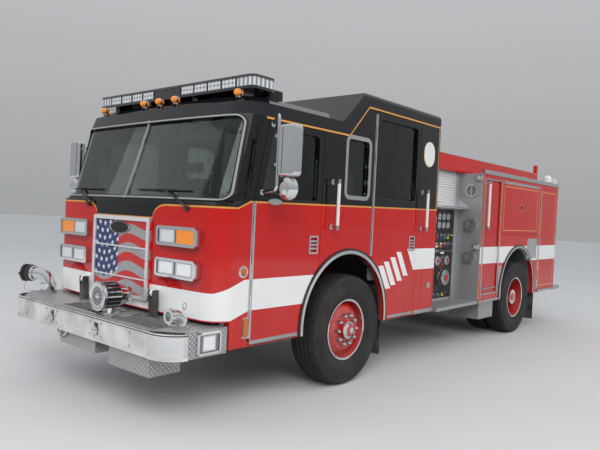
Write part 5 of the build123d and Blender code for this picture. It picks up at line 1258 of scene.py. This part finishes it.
for i in range(8):
    x = -0.15 + 0.043 * i
    kit.box(about(x, 0.006), (-1.387, -1.375), (1.665, 1.685), 0.002)
    marks.box(about(x, 0.012), (-1.387, -1.383), (1.7, 1.712), 0.0008)
kit.done()
marks.done()

# Seats: three stuffed forms, blown up once each by the cloth solver and used on all four seats


def bake(pad):
    """Turns the object's modifiers into its mesh."""
    pad.data = bpy.data.meshes.new_from_object(pad.evaluated_get(bpy.context.evaluated_depsgraph_get()))
    pad.modifiers.clear()


def stuffed(name, corners, voxel, cap):
    """A closed form from its lower and upper corners, remeshed, put under pressure and held to the cap."""
    work = bmesh.new()
    verts = [work.verts.new(c) for c in corners]
    for face in ((3, 2, 1, 0), (4, 5, 6, 7), (0, 1, 5, 4), (1, 2, 6, 5), (2, 3, 7, 6), (3, 0, 4, 7)):
        work.faces.new([verts[i] for i in face])
    bmesh.ops.recalc_face_normals(work, faces=work.faces[:])
    bmesh.ops.bevel(work, geom=work.edges[:], offset=0.018, segments=3, profile=0.5, affect="EDGES")
    mesh = bpy.data.meshes.new(name)
    work.to_mesh(mesh)
    work.free()
    pad = show(name, mesh)
    remesh = pad.modifiers.new("remesh", "REMESH")
    remesh.mode = "VOXEL"
    remesh.voxel_size = voxel
    bake(pad)
    start = [v.co.copy() for v in pad.data.vertices]
    cloth = pad.modifiers.new("cloth", "CLOTH")
    cloth.settings.quality = 5
    cloth.settings.use_pressure = True
    cloth.settings.uniform_pressure_force = 4.0
    cloth.settings.effector_weights.gravity = 0.0
    for number in range(1, 21):
        bpy.context.scene.frame_set(number)
    blown = pad.evaluated_get(bpy.context.evaluated_depsgraph_get()).data
    ends = [v.co.copy() for v in blown.vertices]
    pad.modifiers.clear()
    bpy.context.scene.frame_set(1)
    for vert, a, b in zip(pad.data.vertices, start, ends):
        step = b - a
        vert.co = a + step * min(1.0, cap / max(step.length, 1e-9))
    pad.modifiers.new("fine", "SUBSURF").levels = 1
    bake(pad)
    pad.data.materials.append(seat_cloth)
    pad.data.shade_smooth()
    return pad


def form(x, bottom, top):
    """Eight corners from a half width and two (y0, y1, z) edges."""
    corners = ((-1, 0), (1, 0), (1, 1), (-1, 1))
    return [(s * x, edge[k], edge[2]) for edge in (bottom, top) for s, k in corners]


FORMS = (
    ("cushion", form(0.222, (-0.24, 0.15, 0.018), (-0.24, 0.15, 0.112)), 0.011, 0.024),
    ("back", form(0.215, (0.15, 0.228, 0.15), (0.182, 0.262, 0.6)), 0.011, 0.022),
    ("headrest", form(0.13, (0.192, 0.262, 0.655), (0.2, 0.272, 0.78)), 0.009, 0.016),
)
SEATS = ((0.78, -0.62, 1.4), (-0.78, -0.62, 1.4), (0.76, 1.18, 1.33), (-0.76, 1.18, 1.33))
first = None
for name, corners, voxel, cap in FORMS:
    made = stuffed("seat_" + name, corners, voxel, cap)
    for i, (x, y, z) in enumerate(SEATS):
        pad = made if i == 0 else made.copy()
        pad.name = "seat_%s_%d" % (name, i + 1)
        if i:
            bpy.context.scene.collection.objects.link(pad)
        pad.location = (x, y + AXLE, z)
        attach(pad, "cab")
        first = first or pad
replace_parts(first, "seats")
kit = Kit("seat_frames", chassis_black, "cab")
for x, y, z in SEATS:
    kit.box(about(x, 0.215), (y - 0.235, y + 0.165), about(z, 0.012), 0.004)
    kit.box(about(x, 0.205), (y + 0.236, y + 0.262), (z + 0.11, z + 0.6), 0.006, turned(-0.065))
    for dx in (-0.07, 0.07):
        kit.tube([(x + dx, y + 0.232, z + 0.56), (x + dx, y + 0.238, z + 0.7)], 0.006, 8)
    if y < 0:
        rise = [(-0.8, 0.957), (-0.8, 1.388), (-0.42, 1.388), (-0.42, 1.24), (-0.52, 1.168), (-0.6, 1.098),
                (-0.69, 0.957)]
        kit.plate(rise, "x", x - 0.19, x + 0.19, 0.003)
    else:
        kit.box(about(x, 0.2), (y - 0.18, y + 0.2), (0.957, z - 0.01), 0.006)
kit.done()
kit = Kit("seat_piping", dark_rubber, "cab")
for x, y, z in SEATS:
    loop = [(u, v, z + 0.064) for u, v in soft_box(x - 0.247, x + 0.247, y - 0.265, y + 0.172, 0.05)]
    kit.tube(loop + loop[:2], 0.0035, 6)
kit.done()
kit = Kit("seat_belts", belt_web, "cab")
for s in BOTH:
    for _, y, z in SEATS[::2]:
        low, high = y + 0.08, y + 0.235
        strap = [(high, z + 0.8), (high + 0.046, z + 0.8), (low + 0.046, z + 0.02), (low, z + 0.02)]
        kit.plate(strap, "x", s * 1.062, s * 1.064, 0)
kit.done()

# Pump panels: dials, tags, handles and trims (the same on both sides)

PANEL_X = 0.91            # the panels' face
PANEL_EDGE = 0.9005       # x just outside the pump house's side, round the panels
PUMP_Y = 1.7              # y of the panels' front edge
DIALS = [(y, z, r, deep) for z, r, deep, ys in (
    (1.655, 0.074, 0.034, (0.19, 0.39)), (1.7, 0.046, 0.026, (0.56, 0.68, 0.8)),
    (1.59, 0.046, 0.026, (0.56, 0.68, 0.8)), (1.5, 0.038, 0.022, (0.11, 0.22, 0.33, 0.44))) for y in ys]
HANDLES = [(y, z) for z, ys in ((1.46, (0.56, 0.66, 0.76, 0.86)),
                                (1.35, (0.56, 0.66, 0.76, 0.86, 0.11, 0.22, 0.33, 0.44))) for y in ys]
CAPS = ((0.23, 1.13, 0.062), (0.47, 1.13, 0.062), (0.72, 1.13, 0.062), (0.27, 0.9, 0.062),
        (0.7, 0.905, 0.106))

faces = Kit("gauge_faces", gauge_grey)
marks = Kit("gauge_marks", panel_black)
rims = Kit("gauge_rims", chrome)
for n, (y, z, r, deep) in enumerate(DIALS):
    x = PANEL_X + deep - 0.007
    y += PUMP_Y
    faces.lathe([(x, r - 0.011), (x + 0.0012, r - 0.012), (x + 0.0012, 0.0)], (0, y, z), "x", 36)
    rim = ((0, -0.01), (0.006, -0.009), (0.0085, -0.004), (0.007, 0.001), (0, 0.002))
    rims.lathe([(x + u, r + v) for u, v in rim], (0, y, z), "x", 36)
    strokes = [(-135 + 22.5 * i, 0.08 if i % 3 == 0 else 0.045, 0.00145, 0.00045, 0.0009) for i in range(13)]
    strokes = [(angle, 0.8 - half, half, *rest) for angle, half, *rest in strokes]
    strokes.append((-128 + 14 * (n % 4), 0.22, 0.38, 0.0022, 0.0006, 0.0014))
    for angle, out, half, off, thick, wide in strokes:
        a = math.radians(angle)
        at = (x + off, y + math.sin(a) * r * out, z + math.cos(a) * r * out)
        marks.block(at, (thick, wide, r * half), 0, turned(-a))
    marks.lathe([(x + 0.001, r * 0.11), (x + 0.004, r * 0.09), (x + 0.0042, 0)], (0, y, z), "x", 12)
for y, z in ((0.56, 1.25), (0.86, 1.7)):
    outline = [(PANEL_X, 0.022), (PANEL_X + 0.006, 0.022), (PANEL_X + 0.008, 0)]
    faces.lathe(outline, (0, PUMP_Y + y, z), "x", 20)
for kit in (faces, marks, rims):
    kit.done(both=True)

TAGS = {"red_tag": (0.36, 0.012, 0.01), "blue_tag": (0.02, 0.07, 0.36), "green_tag": (0.02, 0.25, 0.06),
        "yellow_tag": (0.78, 0.55, 0.03), "white_tag": (0.78, 0.78, 0.76), "orange_tag": (0.8, 0.22, 0.02)}
kits = [Kit(name, plain(name, colour, 0.35, dirt=0.1)) for name, colour in TAGS.items()]


def tag(n, y, half, low, high):
    """A coloured label on the panel."""
    kits[n % 6].pad((y - half, y + half, low, high, 0.004), "x", PANEL_X, PANEL_X + 0.0018, 0)


for n, (y, z) in enumerate(HANDLES):
    y += PUMP_Y
    tag(n, y, 0.032, z - 0.052, z - 0.026)
    kits[n % 6].box((PANEL_X + 0.0595, PANEL_X + 0.0625), about(y, 0.022), about(z, 0.007), 0.001)
for n, (y, z, r) in enumerate(CAPS):
    y += PUMP_Y
    outline = [(PANEL_X + 0.0835, r * 0.45), (PANEL_X + 0.0875, r * 0.42), (PANEL_X + 0.0885, 0.0)]
    kits[0].lathe(outline, (0, y, z), "x", 32)
    tag(n + 2, y, 0.045, z + r + 0.02, z + r + 0.048)
for i in range(7):
    tag(i + 3, PUMP_Y + 0.15 + i * 0.105, 0.026, 0.655, 0.677)
for kit in kits:
    kit.done(both=True)
kit = Kit("panel_trims", steel)
kit.box((PANEL_EDGE, 0.922), (1.705, 2.7), (1.238, 1.258), 0.002)
for y in ((2.696, 2.712), (1.704, 1.718)):
    kit.box((PANEL_EDGE, 0.916), y, (0.612, 1.8), 0.002)
kit.bolts(grid((1.735, 2.05, 2.37, 2.68), (0.645, 1.222, 1.275, 1.785)), "x", PANEL_X, 0.006, 0.003)
kit.bolts(grid((2.725, 2.805), (0.7, 1.0, 1.3, 1.6, 1.78)), "x", PANEL_EDGE, 0.006, 0.003)
for y, z, r in CAPS:
    for i, (c, s) in enumerate(circle(16)):
        at = (PANEL_X + 0.059, PUMP_Y + y + (r + 0.001) * s, z + (r + 0.001) * c)
        kit.block(at, (0.011, 0.004, 0.003), 0.001, turned(-math.pi * i / 8))
for y in (1.94, 2.27, 2.6):
    kit.lathe([(2.3, 0.012), (2.306, 0.01), (2.307, 0)], (0.86, y, 0), "z", 10)
kit.done(both=True)
kit = Kit("pump_ledge_lip", chrome)
kit.tube([(1.051, 1.702, 1.832), (1.051, 2.812, 1.832)], 0.008, 8)
kit.done(both=True)
kit = Kit("crosslay_slats", satin)
for i in range(13):
    z = 1.868 + i * 0.0335
    kit.box((0.9212, 0.9262), (1.722, 2.69), about(z, 0.0145), 0.002)
path = [(0.922, 2.1, 1.895), (0.938, 2.1, 1.895), (0.938, 2.3, 1.895), (0.922, 2.3, 1.895)]
kit.tube(path, 0.006, 8, 0.012)
kit.done(both=True)

# Body: shutter, fenders, lights, hose bed and rear

kit = Kit("shutter_frame", steel)
for y in ((2.88, 2.908), (3.416, 3.442)):
    kit.box((BODY_IN, 1.258), y, (0.62, 2.245), 0.002)
for z in ((2.226, 2.246), (0.668, 0.69)):
    kit.box((BODY_IN, 1.257), (2.908, 3.416), z, 0.002)
path = [(1.24, 2.96, 0.755), (1.258, 2.96, 0.755), (1.258, 3.36, 0.755), (1.24, 3.36, 0.755)]
kit.tube(path, 0.009, 10, 0.015)
kit.bolts(grid((2.894, 3.429), (0.66, 0.95, 1.25, 1.55, 1.85, 2.15)), "x", 1.258, 0.005, 0.002)
for y in ((2.845, 3.5), (5.075, 5.85)):
    kit.box((BODY_IN, 1.264), y, (0.566, 0.604), 0.004)
kit.bolts(grid((2.9, 3.1, 3.3, 3.45, 5.15, 5.4, 5.65, 5.8), (0.585,)), "x", 1.264, 0.006, 0.003)
kit.done(both=True)
kit = Kit("fender_doors", body_paint)
kit.pad((4.545, 4.955, 1.12, 1.43, 0.02), "x", BODY_IN, 1.2535, 0.0015)
kit.pad((3.47, 3.56, 0.66, 1.05, 0.015), "x", BODY_IN, 1.253, 0.0012)
kit.done(both=True)
kit = Kit("fender_latches", chrome)
outline = [(BODY_IN, 0.036), (1.256, 0.034), (1.2585, 0.026), (1.256, 0.022), (1.2555, 0.0)]
kit.lathe(outline, (0, 4.79, 1.39), "x", 28)
kit.lathe([(BODY_IN, 0.024), (1.256, 0.022), (1.2575, 0.012), (1.2575, 0.0)], (0, 4.58, 1.365), "x", 24)
kit.lathe([(BODY_IN, 0.018), (1.2545, 0.017), (1.256, 0.008), (1.256, 0.0)], (0, 3.515, 0.98), "x", 20)
kit.pad((3.555, 3.595, 0.6, 1.08, 0.008), "x", BODY_IN, 1.252, 0.0006)
kit.pad((5.845, 5.868, 1.7, 1.86, 0.008), "x", BODY_IN, 1.252, 0.0006)
for z in (2.239, 1.317):
    kit.lathe([(2.78, 0.04), (2.8, 0.046), (2.821, 0.046)], (1.198, 0, z), "y", 28)
    kit.box((1.148, 1.248), (2.77, 2.821), (z + 0.03, z + 0.042), 0.004)
kit.done(both=True)
kit = Kit("step_lights", clear_lens)
for z in (2.239, 1.317):
    kit.lathe([(2.8, 0.038), (2.784, 0.034), (2.776, 0.02), (2.774, 0.0)], (1.198, 0, z), "y", 24)
kit.done(both=True)
kit = Kit("amber_strips", amber_lens)
kit.pad((3.562, 3.588, 0.612, 1.068, 0.006), "x", 1.2515, 1.2545, 0.001)
kit.pad((2.93, 2.99, 0.572, 0.598, 0.006), "x", 1.2635, 1.2665, 0.001)
kit.done(both=True)
kit = Kit("red_markers", red_lens)
kit.pad((5.78, 5.84, 0.572, 0.598, 0.006), "x", 1.2635, 1.2665, 0.001)
for x in (1.05, 0.92):
    kit.pad((x - 0.03, x + 0.03, 0.66, 0.7, 0.006), "y", REAR_IN, 5.8825, 0.001)
kit.pad((0.6, 0.7, 2.262, 2.284, 0.006), "y", REAR_IN, 5.8825, 0.001)
kit.pad((0.02, 0.1, 2.262, 2.284, 0.006), "y", REAR_IN, 5.8825, 0.001)
kit.done(both=True)
kit = Kit("lamp_rims", chrome)
for z in (0.9, 1.07, 1.24):
    outer = soft_box(1.048, 1.212, z - 0.012, z + 0.152, 0.018)
    inner = soft_box(1.062, 1.198, z + 0.002, z + 0.138, 0.01)
    rings = []
    for y, line in ((5.878, outer), (5.888, outer), (5.893, inner), (5.878, inner)):
        rings.append([kit.work.verts.new((u, y, v)) for u, v in line])
    kit.skin(rings, wrap=True)
for x in (1.1, 1.23):
    kit.lathe([(2.3545, 0.016), (2.3565, 0.015), (2.358, 0.0)], (x, 5.735, 0), "z", 12)
kit.lathe([(2.355, 0.081), (2.368, 0.08), (2.374, 0.076), (2.374, 0.071)], (1.175, 5.52, 0), "z", 40)
kit.done(both=True)
kit = Kit("rear_fixings", steel)
kit.pad((-0.17, 0.17, 0.7, 0.86, 0.012), "y", 5.889, 5.893, 0.001)
kit.bolts(grid((-1.2, -0.8, -0.4, 0.0, 0.4, 0.8, 1.2), (0.64, 2.24)), "y", 5.8785, 0.007, 0.004)
kit.bolts(grid((-1.1, -0.7, -0.3, 0.1, 0.5, 0.9), (5.93, 6.22)), "z", 0.6, 0.007, 0.003)
kit.tube([(-0.48, 5.9, 0.68), (-0.48, 5.9, 1.54)], 0.008, 8)
kit.done()
kit = Kit("bed_slats", steel)
for i in range(19):
    y = 1.8 + i * 0.196
    kit.box((-0.95, 0.95), (y, y + 0.15), (2.3145, 2.33), 0.002)
for x in (-0.32, 0.32):
    outline = [(1.78, 2.335), (1.78, 2.47), (1.83, 2.49), (5.42, 2.49), (5.5, 2.4), (5.5, 2.335)]
    kit.plate(outline, "x", x - 0.003, x + 0.003, 0)
kit.done()
kit = Kit("bed_edges", chrome)
for x in (0.962, 0.998):
    kit.tube([(x, 1.745, 2.511), (x, 5.5, 2.511)], 0.004, 6)
kit.done(both=True)

# Under the body

kit = Kit("tank_straps", steel)
for y in (5.17, 5.57):
    kit.box((-0.4145, 0.4145), (y, y + 0.05), (0.3765, 0.38), 0.001)
    for s in BOTH:
        kit.box(about(s * 0.4135, 0.0015), (y, y + 0.05), (0.378, 0.64), 0.0005)
kit.done()
kit = Kit("frame_bolts", steel)
for s in BOTH:
    spots = grid((1.8, 2.0, 3.2, 3.45, 3.7, 4.8, 5.0, 5.3, 5.6), (0.68, 0.74, 0.8))
    kit.bolts(spots, "x", s * 0.432, 0.01, s * 0.008)
square = ((1, 0), (0, 1), (-1, 0), (0, -1))
kit.bolts([(0.05 * c, 0.558 + 0.05 * s) for c, s in square], "y", 2.258, 0.008, -0.01)
for s in BOTH:
    for x, y in grid((0.352, 0.424), (0.09, -0.09)):
        kit.tube([(s * x, y, 0.43), (s * x, y, 0.575)], 0.01, 8)
    kit.box(about(s * 0.388, 0.05), (-0.11, 0.11), (0.556, 0.572), 0.003)
kit.done()

# Stage: pale floor, soft light, and the photograph's viewing angle

EYE = Vector((4.5962, -6.7936, 1.6633))
YAW, PITCH, ROLL = (math.radians(a) for a in (40.7507, -1.1888, 2.7308))
FOCAL = 595.3             # in pixels of a 600-pixel width


def make_camera():
    data = bpy.data.cameras.new("camera")
    data.sensor_width = 36.0
    data.lens = data.sensor_width * FOCAL / 600
    data.clip_end = 200.0
    camera = show("camera", data)
    look = Vector((-math.sin(YAW) * math.cos(PITCH), math.cos(YAW) * math.cos(PITCH), math.sin(PITCH)))
    level = Vector((math.cos(YAW), math.sin(YAW), 0.0))
    lift = level.cross(look)
    right = level * math.cos(ROLL) + lift * math.sin(ROLL)
    up = lift * math.cos(ROLL) - level * math.sin(ROLL)
    turn = Matrix((right, up, -look)).transposed().to_4x4()
    camera.matrix_world = Matrix.Translation(EYE) @ turn
    bpy.context.scene.camera = camera


def make_floor():
    mesh = bpy.data.meshes.new("floor")
    work = bmesh.new()
    bmesh.ops.create_grid(work, x_segments=2, y_segments=2, size=60.0)
    work.to_mesh(mesh)
    floor = show("floor", mesh)
    floor.location.z = -0.002
    p = Paint("floor", rough=0.85)
    pale = p.mix((0.5, 0.5, 0.5), (0.56, 0.56, 0.555), p.noise(0.6, 4.0))
    p.set(colour=p.mix((0.2, 0.2, 0.195), pale, p.seen()))
    mesh.materials.append(p.material)


def make_light():
    """Cloudy sky, bright at the skyline and overhead, dark ground; a plain pale backdrop; three soft lamps."""
    world = bpy.data.worlds.new("studio")
    bpy.context.scene.world = world
    p = Nodes(world, "Generated")
    shown = p.fed(p.add("Background"), p.stops(p.z, ((0.0, (0.36, 0.37, 0.38)), (0.7, (0.66, 0.67, 0.69)))))
    sky = p.stops(p.z, ((0.0, (0.03, 0.033, 0.035)), (0.1, (0.95, 1.0, 1.08)), (0.2, (0.5, 0.54, 0.6)),
                        (0.5, (0.8, 0.86, 0.95)), (1.0, (1.0, 1.0, 1.0))))
    soft = p.fed(p.add("Background"), sky, p.noise(2.6, 5.0).scaled(2.4, -0.3))
    p.fed(p.add("OutputWorld"), p.fed(p.add("MixShader"), p.seen(), soft, shown))
    for name, place, aim, size, power in (
            ("key", (9.0, -11.0, 9.0), (0.0, -1.0, 1.0), 7.0, 1350.0),
            ("fill", (12.0, 5.0, 6.0), (0.0, 1.0, 1.0), 8.0, 600.0),
            ("front", (-9.0, -12.0, 5.0), (0.0, -3.0, 1.0), 9.0, 500.0)):
        data = bpy.data.lights.new(name, "AREA")
        data.size = size
        data.energy = power
        lamp = show(name, data)
        lamp.location = place
        lamp.visible_glossy = False
        lamp.rotation_euler = (Vector(aim) - Vector(place)).to_track_quat("-Z", "Y").to_euler()


make_camera()
make_floor()
make_light()
bpy.context.scene.view_settings.view_transform = "Standard"
